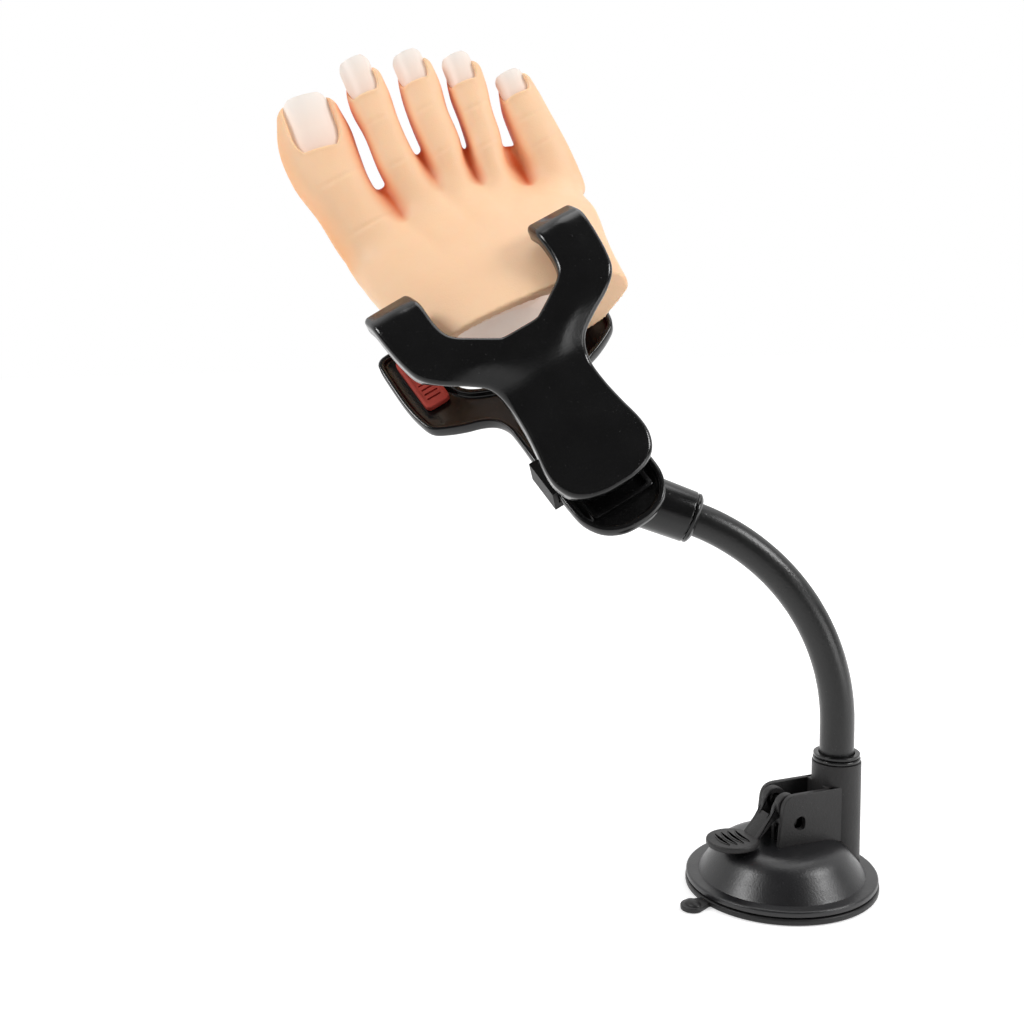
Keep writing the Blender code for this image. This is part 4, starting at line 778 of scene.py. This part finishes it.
def evenLoop(half, length, width, spacing):
    # a closed cubic curve through the half outline and its mirror image, at even steps
    half = np.array(half) * (length, width)
    points = np.vstack([half, half[-2:0:-1] * (1, -1)])
    a, b, c, d = (np.roll(points, -k, 0)[:, None] for k in (-1, 0, 1, 2))
    t = np.linspace(0, 1, 16, endpoint=False)[None, :, None]
    dense = 0.5 * (2 * b + (c - a) * t + (2 * a - 5 * b + 4 * c - d) * t**2 + (3 * b - a - 3 * c + d) * t**3)
    dense = dense.reshape(-1, 2)
    closed = np.vstack([dense, dense[:1]])
    reach = np.concatenate([[0], np.cumsum(np.linalg.norm(np.diff(closed, axis=0), axis=1))])
    want = np.linspace(0, reach[-1], int(reach[-1] / spacing), endpoint=False)
    return np.stack([np.interp(want, reach, closed[:, k]) for k in (0, 1)], axis=1)


def bendLine(turns, length=0.13, step=0.0002):
    # a line that turns by each angle over its run, smoothly; its place, x, z and slope
    place = np.arange(0, length, step)
    lean = np.zeros_like(place)
    for start, run, angle in turns:
        lean = lean + angle * eased(place, start, run)
    x = np.concatenate([[0], np.cumsum(np.cos(lean[:-1]) * step)])
    z = np.concatenate([[0], np.cumsum(np.sin(lean[:-1]) * step)])
    return place, x, z, lean


def bent(points, line):
    # flat (x, y, z) carried onto the line: x runs along it and z stands square to it
    place, x, z, lean = line
    cx, cz, angle = (np.interp(points[:, 0], place, values) for values in (x, z, lean))
    square = points[:, 2]
    moved = np.stack([cx - np.sin(angle) * square, points[:, 1], cz + np.cos(angle) * square], axis=1)
    return np.where(points[:, :1] > 0, moved, points)


def insideLoop(points, loop):
    # even-odd test of every point against every edge of the loop
    x, y = points[:, :1], points[:, 1:]
    x0, y0 = loop[:, 0][None], loop[:, 1][None]
    x1, y1 = np.roll(loop[:, 0], -1)[None], np.roll(loop[:, 1], -1)[None]
    crosses = (y0 > y) != (y1 > y)
    rise = np.where(y1 == y0, 1e-12, y1 - y0)
    return np.sum(crosses & (x < x0 + (y - y0) / rise * (x1 - x0)), axis=1) % 2 == 1


def cap(ring, spacing):
    # a flat field inside a ring: its own points, then a net of inner points, joined by triangles
    low, high = ring.min(0), ring.max(0)
    axes = [np.arange(low[k] + spacing / 2, high[k], spacing) for k in (0, 1)]
    net = np.stack(np.meshgrid(*axes, indexing="ij"), axis=-1).reshape(-1, 2)
    net = net[insideLoop(net, ring)]
    away = np.min(np.linalg.norm(net[:, None] - ring[None], axis=2), axis=1)
    points = np.vstack([ring, net[away > spacing * 0.6]])
    count = len(ring)
    edges = [(i, (i + 1) % count) for i in range(count)]
    made = delaunay_2d_cdt([Vector(p) for p in points.tolist()], edges, [], 1, 1e-7)
    flat = np.array([(v.x, v.y) for v in made[0]])
    away = np.min(np.linalg.norm(flat[:, None] - ring[None], axis=2), axis=1)
    return flat, [list(f) for f in made[2]], away


def jawPiece(name, loop, turns, face, side, place, body, node, crown):
    # a shell: the outline's edge is rounded over, then falls to a rim that stands round the hollow inner side
    s = jaw
    angle = np.linspace(0, np.pi / 2, 9)
    edge = np.stack([s["round"] * (1 - np.cos(angle)), s["round"] * (np.sin(angle) - 1)], axis=1)
    rows = np.vstack([s["rim"], edge])
    inward = outlineNormals(loop)
    flat = loop[None] + inward[None] * rows[:, :1, None]
    tall = np.broadcast_to(rows[:, 1][:, None, None], (*flat.shape[:2], 1))
    grid = np.concatenate([flat, tall], axis=-1)
    count = len(loop)
    points, faces = [grid.reshape(-1, 3)], gridFaces(len(rows), count)
    for row, bulge in ((len(rows) - 1, crown), (0, 0.0)):
        plane, triangles, away = cap(grid[row, :, :2], s["netStep"])
        height = rows[row, 1] + bulge * (1 - np.exp(-(away / s["crownRun"]) ** 2))
        shift = sum(len(p) for p in points)
        points.append(np.column_stack([plane, height]))
        faces += [[i + shift for i in triangle] for triangle in triangles]
    points = bent(np.vstack(points), bendLine(turns))
    points[:, 2] = face + side * points[:, 2]
    return makePiece(name, placed(points, place), faces, "jaw", body, (node,), 50)


def boxLoop(x0, x1, y0, y1, radius):
    return filleted([(x0, y0), (x1, y0), (x1, y1), (x0, y1)], radius, 6)


def makeJaws(s):
    loop = evenLoop(rearOutline, s["rearLength"], s["rearHalf"], s["loopStep"])
    jawPiece("rearJaw", loop, s["rearBow"], s["rearBack"], -1, clamp, "clamp", "rear_jaw", s["sheetCrown"])
    loop = evenLoop(frontOutline, s["frontLength"], s["frontHalf"], s["loopStep"]) - (s["hingeX"], 0)
    turns = [(start - s["hingeX"], run, angle) for start, run, angle in (*s["frontBow"], s["hook"])]
    jawPiece("frontJaw", loop, turns, s["frontFace"], 1, front, "front", "front_jaw", s["crown"])
    # latch: a raised frame on the inside of the rear jaw's tail
    t = s["latch"]
    floor = s["rearBack"] + s["wall"]
    window, outline = (
        boxLoop(t["x"] - t["halfLength"] - wider, t["x"] + t["halfLength"] + wider, -t["halfWidth"] - wider,
                t["halfWidth"] + wider, radius)
        for wider, radius in ((0, t["corner"]), (t["wall"], t["wall"])))
    raised = plate("latchFrame", outline, floor - t["sunk"], floor + t["height"], 0.3 * mm, "jaw", "clamp", (),
                   clamp)
    cutThrough(raised, window, floor - mm, floor + t["height"] + mm, clamp)
    # ears: lugs that carry the hinge pin, two on each jaw
    innerY = t["earY"] - t["earThick"] - t["earGap"]
    for name, body, place, root, side, y in (
            ("rearEar", "clamp", hinge, s["wall"] / 2 - s["hingeRise"], 1, t["earY"]),
            ("frontEar", "front", front, s["frontFace"] - s["wall"] / 2, -1, innerY)):
        turn = np.linspace(0, np.pi, 17)
        arc = np.stack([np.cos(turn), side * np.sin(turn)], axis=1) * t["ear"]
        lug = np.vstack([[(-1.5 * t["ear"], root), (1.5 * t["ear"], root)], arc])
        for number, low in enumerate((y, -y - t["earThick"])):
            plate(f"{name}.{number + 1}", lug, -low - t["earThick"], -low, 0.3 * mm, "jaw", body, (),
                  place @ upright)


def makePads(s):
    # rubber pads with a raised border and grip grooves, on the arms' inner faces
    bows = [float(bendLine(s[key])[2][-1]) for key in ("rearBow", "frontBow")]
    rearThick, frontThick = s["padThick"]
    rearLow = s["rearBack"] - bows[0] + s["wall"] + s["padGap"]
    frontHigh = s["frontFace"] + bows[1] - s["wall"] - s["padGap"]
    for kind, body, place, spans, z0, z1, face in (
            ("rear", "clamp", clamp, s["rearPad"], rearLow, rearLow + rearThick, 1),
            ("front", "front", front, s["frontPad"], frontHigh - frontThick, frontHigh, -1)):
        x0, x1, near, far = spans
        top = z1 if face > 0 else z0
        for side, y0, y1 in bothSides(near, far):
            pad = plate(f"{kind}Pad.{side}", boxLoop(x0, x1, y0, y1, 2.5 * mm), z0, z1, 0.5 * mm, "pad", body,
                        (f"{kind}_pad_{side}",), place)
            inset = field["inset"]
            floors = [(field["depth"], boxLoop(x0 + inset, x1 - inset, y0 + inset, y1 - inset, field["round"]))]
            inset = grip["inset"]
            for groove in range(grip["count"]):
                x = x0 + grip["start"] + grip["pitch"] * groove
                if x < x1 - grip["end"]:
                    loop = boxLoop(x, x + grip["width"], y0 + inset, y1 - inset, grip["round"])
                    floors.append((grip["depth"], loop))
            for depth, loop in floors:
                low, high = sorted((top - face * depth, top + face * mm))
                cutThrough(pad, loop, low, high, place)


makeJaws(jaw)
makePads(jaw)
print("jaws made")


# Foot

foot = {
    "cut": 49.0 * mm, "length": 83.0 * mm, "width": 104.0 * mm, "height": 37.4 * mm, "low": 10.6 * mm,
    "skew": 0.2, "cutSkew": 0.15, "power": 2.4, "wall": 3.4 * mm, "rightWall": 13 * mm, "pocket": 26.0 * mm,
    "toe": 60.0 * mm, "toePower": 2.25, "around": 120, "aroundToe": 64,
    "facets": 14, "recess": 4.0 * mm, "slant": 5.0 * mm, "ease": 0.05 * mm,
    "nose": 11.0 * mm, "noseShare": 0.72, "noseDrop": 2.5 * mm,
    "planeX": 116.0 * mm, "planeZ": 36.0 * mm, "lift": math.radians(26), "voxel": 0.75 * mm,
    # how far the front edge is drawn back at places across the foot
    "front": np.array([(-60, 20), (-43, 17), (-29, 11), (-15, 6), (3, 13), (22, 12)]) * mm,
    # how far the outer side falls above and lifts below, with the place and run over which it sets in
    "fall": 6.0 * mm, "fallFrom": (15 * mm, 40 * mm), "outerLift": 10.0 * mm, "liftFrom": (33 * mm, 18 * mm),
    "sections": (
        # along, right edge, left edge, bottom, top
        (0.0, -0.439, 0.279, 0.137, 1.0), (0.185, -0.475, 0.284, 0.137, 0.965),
        (0.46, -0.548, 0.288, 0.137, 0.855), (0.6, -0.587, 0.288, 0.05, 0.785),
        (0.741, -0.61, 0.284, 0.0, 0.715), (0.877, -0.62, 0.274, 0.02, 0.645), (1.0, -0.6, 0.24, 0.09, 0.54),
    ),
}
# distance along, sideways, half width and half height, as shares of the big toe's length
toes = {
    "big": ((-0.233, 0.235, 0.2, 0.165), (0.067, 0.27, 0.217, 0.208), (0.333, 0.288, 0.204, 0.192),
            (0.583, 0.281, 0.234, 0.188), (0.8, 0.238, 0.233, 0.175), (0.917, 0.207, 0.2, 0.142)),
    "second": ((-0.133, -0.1, 0.137, 0.15), (0.133, -0.113, 0.132, 0.15), (0.367, -0.113, 0.126, 0.133),
               (0.6, -0.145, 0.119, 0.125), (0.833, -0.182, 0.134, 0.12), (0.933, -0.208, 0.118, 0.1)),
    "third": ((-0.133, -0.35, 0.14, 0.145), (0.167, -0.376, 0.11, 0.143), (0.333, -0.416, 0.126, 0.133),
              (0.533, -0.446, 0.127, 0.123), (0.733, -0.499, 0.13, 0.117), (0.833, -0.522, 0.116, 0.097)),
    "fourth": ((-0.233, -0.592, 0.138, 0.145), (0.083, -0.619, 0.104, 0.147), (0.233, -0.67, 0.112, 0.137),
               (0.4, -0.71, 0.112, 0.125), (0.567, -0.755, 0.124, 0.117), (0.667, -0.784, 0.117, 0.097)),
    "fifth": ((-0.367, -0.92, 0.2, 0.15), (-0.1, -0.97, 0.155, 0.155), (0.083, -0.985, 0.15, 0.158),
              (0.217, -0.996, 0.143, 0.143), (0.333, -1.01, 0.134, 0.13), (0.433, -1.027, 0.113, 0.103)),
}
# webs that join neighbouring toes low down, beyond the crotch that shows on top
webs = (
    ((-0.2, 0.05, 0.12, 0.09), (0.03, 0.05, 0.09, 0.08), (0.25, 0.055, 0.06, 0.06)),
    ((-0.1, -0.25, 0.12, 0.09), (0.13, -0.255, 0.08, 0.08), (0.33, -0.27, 0.05, 0.06)),
    ((-0.25, -0.48, 0.12, 0.09), (-0.03, -0.5, 0.09, 0.08), (0.21, -0.53, 0.05, 0.06)),
    ((-0.4, -0.72, 0.12, 0.09), (-0.2, -0.735, 0.1, 0.08), (0.1, -0.77, 0.06, 0.06)),
)
webDrop = 7.0 * mm
# where each toe's joints cross it, as shares along it
joints = {"big": (0.42, 0.08), "second": (0.63, 0.33), "third": (0.55, 0.26), "fourth": (0.41, 0.16),
          "fifth": (0.19, 0.0)}
crease = {"depth": 0.45 * mm, "width": 0.012, "swell": 0.55 * mm, "swellWidth": 0.075}
# soft grooves that run back from the crotches over the instep
groove = {"places": (0.05, -0.25, -0.48, -0.725), "depth": 1.0 * mm, "width": 0.055}
# root, length, half width and arch radius
nails = {
    "big": (0.6, 0.417, 0.15, 0.26), "second": (0.775, 0.3, 0.102, 0.14), "third": (0.695, 0.255, 0.098, 0.135),
    "fourth": (0.543, 0.245, 0.095, 0.13), "fifth": (0.31, 0.21, 0.092, 0.128),
}
nailShape = {"root": 2.5 * mm, "depth": 1.2 * mm, "pitch": math.radians(4), "thick": 0.9 * mm,
             "roll": math.radians(-18)}
# the bed under a nail: its play, the softness of its border, and the fold beside it with its place and width
bed = {"play": 0.15 * mm, "soft": 0.25 * mm, "fold": 0.45 * mm, "foldPlace": 0.8 * mm, "foldWidth": 0.9 * mm,
       "foldEnd": 2.6 * mm, "reach": 4.5 * mm, "behind": 3 * mm, "ahead": 5 * mm, "free": 4 * mm}
# smoothing, in the clamp's directions: between the toes, at the instep's front edge and on the outer side
soften = {"crotch": 2.6 * mm, "gapShadeReach": 6.5 * mm, "aheadX": 100 * mm, "aheadY": 45 * mm, "aheadSkew": 0.15,
          "aheadRun": 8 * mm, "cutRun": 3 * mm, "edgeBack": 3 * mm, "instepWidth": 11 * mm,
          "outerWidth": 13 * mm, "outerFrom": (46 * mm, 8 * mm), "instepDepth": (10 * mm, 4 * mm)}
# depths under the toes' top plane at which the painted shade in the folds and down the sides sets in, grows and
# fades
tone = {"start": 2.0 * mm, "gapShadeRun": 4.0 * mm, "sideShadeRun": 10 * mm, "fadeEnd": 15 * mm, "fadeRun": 6 * mm}
toePlane = (clamp @ Matrix.Translation((foot["planeX"], 0, foot["planeZ"]))
            @ Matrix.Rotation(-foot["lift"], 4, "Y"))


def smoothTable(table, want):
    # cubic pieces through the rows, with slopes taken from the rows on both sides
    table = np.asarray(table, float)
    place, values = table[:, 0], table[:, 1:]
    slope = np.gradient(values, place, axis=0)
    k = np.clip(np.searchsorted(place, want, side="right") - 1, 0, len(place) - 2)
    run = (place[k + 1] - place[k])[:, None]
    t = (np.asarray(want) - place[k])[:, None] / run
    a, b = values[k], values[k + 1]
    p, q = slope[k] * run, slope[k + 1] * run
    values = a * (2 * t**3 - 3 * t**2 + 1) + b * (3 * t**2 - 2 * t**3)
    return values + p * (t**3 - 2 * t**2 + t) + q * (t**3 - t**2)


def oval(angle, power):
    # superellipse: |cos|^(2/p) and |sin|^(2/p), with their signs
    c, s = np.cos(angle), np.sin(angle)
    return np.sign(c) * np.abs(c) ** (2 / power), np.sign(s) * np.abs(s) ** (2 / power)


def footSection(along, angle, inset):
    # the foot's cross section at shares along it, drawn in from the surface by an inset
    s = foot
    right, left, bottom, top = (column[:, None] for column in smoothTable(s["sections"], along).T)
    y0, y1 = right * s["width"] + inset * s["rightWall"] / s["wall"], left * s["width"] - inset
    z0, z1 = s["low"] + bottom * s["height"] + inset, s["low"] + top * s["height"] - inset
    across, up = oval(angle, s["power"])
    y = (y0 + y1) / 2 + across * (y1 - y0) / 2
    z = (z0 + z1) / 2 + up * (z1 - z0) / 2
    z = z - s["fall"] * np.maximum(up, 0) * eased(-y, *s["fallFrom"]) * along[:, None] ** 1.5
    z = z + s["outerLift"] * np.maximum(-up, 0) * eased(-y, *s["liftFrom"]) * (1 - along[:, None])
    skew = s["cutSkew"] * (1 - along) + s["skew"] * along**2
    drawn = np.interp(y, *s["front"].T) * along[:, None] ** 4 * eased(up, -0.7, 1.4)
    x = s["cut"] + along[:, None] * s["length"] + skew[:, None] * y - drawn
    return np.stack([x + 0 * y, y, z], axis=-1)


def footBody():
    # outside from the cut to the toes, and back inside to the pocket's floor
    s = foot
    count, share = s["around"], s["noseShare"]
    angle = 2 * np.pi * np.arange(count) / count
    along = np.linspace(0, 1, 60)
    outside = footSection(along, angle, 0)
    # the nose draws in towards a line low in the section, so the ball stands out beyond the toes' crotches
    middle = outside[-1] * np.array([0, share, 0]) + outside[-1].mean(0) * np.array([1, 1 - share, 1])
    middle[:, 2] -= s["noseDrop"]
    middle[:, 0] += s["skew"] * (middle[:, 1] - middle[:, 1].mean())
    rounding = np.linspace(0, 1, 12)[1:, None, None]
    front = middle + (outside[-1] - middle) * np.sqrt(1 - rounding**2) + np.array([s["nose"], 0, 0]) * rounding
    depth = np.linspace(0, s["pocket"] / s["length"], 12)
    inside = footSection(depth, angle, s["wall"])[::-1]
    grid = np.concatenate([inside, outside, front])
    return placed(grid.reshape(-1, 3), clamp), gridFaces(len(grid), count) + ends(len(grid), count)


def toeSurface(stations, drop=0.0):
    # an oval carried along the toe, closed by a half egg at its tip
    s = foot
    count, body = s["aroundToe"], 46
    angle = 2 * np.pi * np.arange(count) / count
    first, last = stations[0][0], stations[-1][0]
    along = np.linspace(first, last, body)
    values = smoothTable(stations, along)
    tip = np.sin(np.linspace(0, np.pi / 2, 12))[1:]
    end = np.repeat(values[-1:], len(tip), axis=0)
    reach = values[-1, 2] * 0.75
    way = (values[-1, 0] - values[-3, 0]) / (along[-1] - along[-3])
    way = np.array([1, way]) / math.hypot(1, way)
    end[:, 0] += way[1] * reach * tip
    shrink = np.sqrt(np.maximum(1 - tip**2, 0))
    distance = np.concatenate([along, last + way[0] * reach * tip])
    values = np.vstack([values, end])
    size = np.concatenate([np.ones(body), shrink])
    side, wide, tall = (values[:, k] * s["toe"] for k in (0, 1, 2))
    distance = distance * s["toe"]
    lean = np.arctan2(np.gradient(side), np.maximum(np.gradient(distance), 1e-9))
    lean[body:] = lean[body - 1]
    across, up = oval(angle, s["toePower"])
    y = (wide * size)[:, None] * across[None]
    z = (tall * size)[:, None] * up[None] - tall[:, None] - drop
    x = distance[:, None] - np.sin(lean)[:, None] * y
    y = side[:, None] + np.cos(lean)[:, None] * y
    grid = np.stack([x, y, z], axis=-1)
    return placed(grid.reshape(-1, 3), toePlane), gridFaces(len(grid), count) + [list(range(count))]


def nailMatrix(name):
    root, length = nails[name][:2]
    stations = np.array(toes[name])
    tip = root + length * 0.7
    here = [np.interp(root, stations[:, 0], stations[:, k]) for k in (1, 3)]
    there = np.interp(tip, stations[:, 0], stations[:, 1])
    turn = math.atan2(there - here[0], tip - root)
    size = foot["toe"]
    place = toePlane @ Matrix.Translation((root * size, here[0] * size, -here[1] * size))
    place = place @ Matrix.Rotation(turn, 4, "Z") @ Matrix.Rotation(nailShape["pitch"], 4, "Y")
    lean = 0.0 if name == "big" else nailShape["roll"]
    raised = Matrix.Translation((0, 0, here[1] * size - nailShape["depth"]))
    return place @ Matrix.Rotation(lean, 4, "X") @ raised


def nailSpan(share):
    root = (1 - (1 - np.clip(share / 0.45, 0.02, 1)) ** 2.2) ** (1 / 2.2)
    tip = np.sqrt(np.maximum(1 - (np.clip(share - 0.8, 0, 1) / 0.2) ** 2 * 0.6, 0))
    return np.minimum(root, tip)


def makeNail(name):
    # an arched plate: (x, R sin a, R cos a - R), spread by the nail's span, and the same drawn in below
    root, length, half, radius = (value * foot["toe"] for value in nails[name])
    rows = 36
    share = np.linspace(0, 1, rows)
    spread = math.asin(half / radius) * nailSpan(share)[:, None]
    across = np.linspace(-1, 1, 33)
    thin = nailShape["thick"] * np.sqrt(np.clip(1 - np.abs(across) ** 6, 0.05, 1))
    angle = spread * across
    x = share[:, None] * length + 0 * angle
    top = np.stack([x, radius * np.sin(angle), radius * (np.cos(angle) - 1)], -1)
    lower = radius - thin
    under = np.stack([x, lower * np.sin(angle), lower * np.cos(angle) - radius], -1)[:, ::-1]
    grid = np.concatenate([top, under], axis=1)
    columns = grid.shape[1]
    node = f"{name}_toe_nail"
    makePiece(f"{name}Nail", placed(grid.reshape(-1, 3), nailMatrix(name)),
              gridFaces(rows, columns) + ends(rows, columns), "nail", node, (node,), 60,
              {"along": np.repeat(share, columns)})


def smoothed(points, edges, weight, rounds):
    # each point moved towards the mean of its neighbours, by its own weight
    here, there = np.concatenate([edges, edges[:, ::-1]]).T
    count = np.bincount(here, minlength=len(points))
    for _ in range(rounds):
        means = [np.bincount(here, points[there, k], len(points)) / count for k in range(3)]
        points = points + weight[:, None] * (np.stack(means, axis=1) - points)
    return points


def crossCreases(points):
    # over each joint the top of the toe swells, exp(-(d / w)^2), and a narrow crease runs across the swelling
    local = placed(points, toePlane.inverted())
    share = local / foot["toe"]
    for name, places in joints.items():
        table = np.array(toes[name])
        side, wide, tall = (np.interp(share[:, 0], table[:, 0], table[:, k]) for k in (1, 2, 3))
        across = np.clip(1 - ((share[:, 1] - side) / (1.15 * wide)) ** 2, 0, 1)
        upper = np.clip((share[:, 2] + tall) / tall, 0, 1) * across
        for place in places:
            bowed = share[:, 0] - place - 0.03 * (1 - across)
            swell = crease["swell"] * np.exp(-(bowed / crease["swellWidth"]) ** 2)
            local[:, 2] += (swell - crease["depth"] * np.exp(-(bowed / crease["width"]) ** 2)) * upper
    run = np.clip((share[:, 0] + 0.5) / 0.5, 0, 1) * np.clip((0.1 - share[:, 0]) / 0.1, 0, 1)
    run = run * np.clip((share[:, 2] + 0.35) / 0.2, 0, 1)
    for place in groove["places"]:
        back = place + 0.12 * np.minimum(share[:, 0], 0) * (place + 0.3)
        local[:, 2] -= groove["depth"] * run * np.exp(-((share[:, 1] - back) / groove["width"]) ** 2)
    return placed(local, toePlane)


def toeDistances(points):
    # how far each point stands from every toe's skin, in metres; inside is negative
    local = placed(points, toePlane.inverted()) / foot["toe"]
    found = []
    for stations in toes.values():
        table = np.array(stations)
        reach = np.clip(local[:, 0], table[0, 0], table[-1, 0])
        side, wide, tall = (np.interp(reach, table[:, 0], table[:, k]) for k in (1, 2, 3))
        beyond = local[:, 0] - reach
        radial = np.sqrt(((local[:, 1] - side) / wide) ** 2 + ((local[:, 2] + tall) / tall) ** 2)
        found.append(np.hypot((radial - 1) * (wide + tall) / 2, beyond) * np.where(radial < 1, -1, 1))
    return np.array(found) * foot["toe"]


def fusedBlank():
    # the foot's body, the toes and the webs in one mesh, remeshed into one closed skin
    pieces = [footBody()] + [toeSurface(stations) for stations in toes.values()]
    pieces += [toeSurface(stations, webDrop) for stations in webs]
    points, faces, shift = [], [], 0
    for some, quads in pieces:
        points.append(some)
        faces += [[i + shift for i in quad] for quad in quads]
        shift += len(some)
    mesh = bpy.data.meshes.new("footBlank")
    mesh.from_pydata(np.vstack(points).tolist(), [], faces)
    cleaned(mesh)
    blank = bpy.data.objects.new("footBlank", mesh)
    bpy.context.scene.collection.objects.link(blank)
    change = blank.modifiers.new("Remesh", "REMESH")
    change.mode = "VOXEL"
    change.voxel_size = foot["voxel"]
    graph = bpy.context.evaluated_depsgraph_get()
    fused = bpy.data.meshes.new_from_object(blank.evaluated_get(graph))
    bpy.data.objects.remove(blank)
    return fused


def makeFoot(s):
    fused = fusedBlank()
    co = np.zeros(len(fused.vertices) * 3)
    fused.vertices.foreach_get("co", co)
    co = co.reshape(-1, 3)
    edges = np.zeros(len(fused.edges) * 2, int)
    fused.edges.foreach_get("vertices", edges)
    edges = edges.reshape(-1, 2)
    second = np.maximum(np.sort(toeDistances(co), axis=0)[1], 0)
    between = np.exp(-(second / s["crotch"]) ** 2)
    along, sideway, _ = placed(co, clamp.inverted()).T
    ahead = (along - s["aheadX"] - s["aheadSkew"] * (sideway + s["aheadY"])) / s["aheadRun"]
    ahead = np.clip(ahead, 0, 1)
    cutEdge = np.clip((along - foot["cut"] - foot["cutSkew"] * sideway) / s["cutRun"], 0, 1)
    low = -placed(co, toePlane.inverted())[:, 2]
    edge = foot["cut"] + foot["length"] + foot["skew"] * sideway
    edge = edge - np.interp(sideway, *foot["front"].T) - s["edgeBack"]
    deep, run = s["instepDepth"]
    instep = np.exp(-((along - edge) / s["instepWidth"]) ** 2) * np.clip((deep - low) / run, 0, 1)
    start, run = s["outerFrom"]
    outside = np.clip((-sideway - start) / run, 0, 1) * np.exp(-((along - edge) / s["outerWidth"]) ** 2)
    for weight, rounds in ((0.5 * cutEdge, 4), (0.6 * instep * (1 - 0.5 * between), 260), (0.6 * outside, 200),
                           (np.clip(1.4 * between * ahead, 0, 0.5), 8)):
        co = smoothed(co, edges, weight, rounds)
    co = smoothed(sinkNailBeds(crossCreases(co)), edges, 0.25 * cutEdge, 1)
    fused.vertices.foreach_set("co", co.ravel())
    # painted shade: dark red between the toes, fading towards the sole, and a deeper orange down the toes'
    # lower sides
    low = -placed(co, toePlane.inverted())[:, 2]
    near = np.exp(-(second / s["gapShadeReach"]) ** 2) * ahead
    fade = np.clip((tone["fadeEnd"] - low) / tone["fadeRun"], 0.12, 1)
    gapShade = np.clip(near * (low - tone["start"]) / tone["gapShadeRun"], 0, 0.95) * fade
    sideShade = np.clip((low - tone["start"]) / tone["sideShadeRun"], 0, 1) * (0.3 + 0.7 * ahead) * 0.85
    addAttributes(fused, {"gapShade": gapShade, "sideShade": sideShade})
    fused.name = "footSkin"
    fused.shade_smooth()
    addPiece("footSkin", fused, "skin", "clamp", ("foot_skin",))
    print("foot skin has", len(fused.polygons), "faces")


def sinkNailBeds(points):
    # under each nail the skin lies just below the plate, and beside it a soft fold stands up
    moved = points.copy()
    for name in nails:
        root, length, half, radius = (value * foot["toe"] for value in nails[name])
        place = nailMatrix(name)
        local = placed(moved, place.inverted())
        share = local[:, 0] / length
        wide = half * nailSpan(np.clip(share, 0, 1))
        arch = np.sqrt(np.maximum(radius**2 - np.minimum(np.abs(local[:, 1]), half * 1.2) ** 2, 0)) - radius
        outY = np.abs(local[:, 1]) - wide
        outX = np.maximum(nailShape["root"] - local[:, 0], local[:, 0] - length - bed["free"])
        out = np.maximum(outY, outX)
        near = (np.abs(local[:, 2] - arch) < bed["reach"]) & (local[:, 0] > -bed["behind"])
        near &= local[:, 0] < length + bed["ahead"]
        inside = 1 / (1 + np.exp(np.clip(out / bed["soft"], -30, 30)))
        target = np.minimum(local[:, 2], arch - nailShape["thick"] - bed["play"])
        fold = bed["fold"] * np.exp(-((out - bed["foldPlace"]) / bed["foldWidth"]) ** 2)
        fold = fold * (outX < bed["foldEnd"]) * np.clip((length - local[:, 0]) / (3 * mm), 0, 1)
        height = local[:, 2] + inside * (target - local[:, 2]) + (1 - inside) * fold
        local[:, 2] = np.where(near, height, local[:, 2])
        moved = np.where(near[:, None], placed(local, place), moved)
    return moved


def makeCore(s):
    # a faceted filler in the pocket: a slanted ring round its face, then straight walls down to the floor
    count = s["facets"]
    angle = 2 * np.pi * (np.arange(count) + 0.5) / count
    depths = np.array([s["recess"], s["recess"] + s["slant"], s["pocket"]]) / s["length"]
    insets = (s["wall"] + s["slant"], s["wall"] + s["ease"], s["wall"] + s["ease"])
    rings = [footSection(depths[k:k + 1], angle, inset)[0] for k, inset in enumerate(insets)]
    makePiece("footCore", placed(np.vstack(rings), clamp), gridFaces(3, count) + ends(3, count), "core",
              "clamp", ("foot_core",), 15)


makeFoot(soften)
makeCore(foot)
for toeName in nails:
    makeNail(toeName)
print("foot made")


# Pieces that stay as the frame has them

finishes = {
    "torsion_spring": "steel", "hinge_pin": "steel", "swivel_pin": "steel",
    "pull_stem": "darkSteel", "slide_bracket": "bracket",
}
for nodeName, lookName in finishes.items():
    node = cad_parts[nodeName]
    node.data.materials.clear()
    node.data.materials.append(looks[lookName])
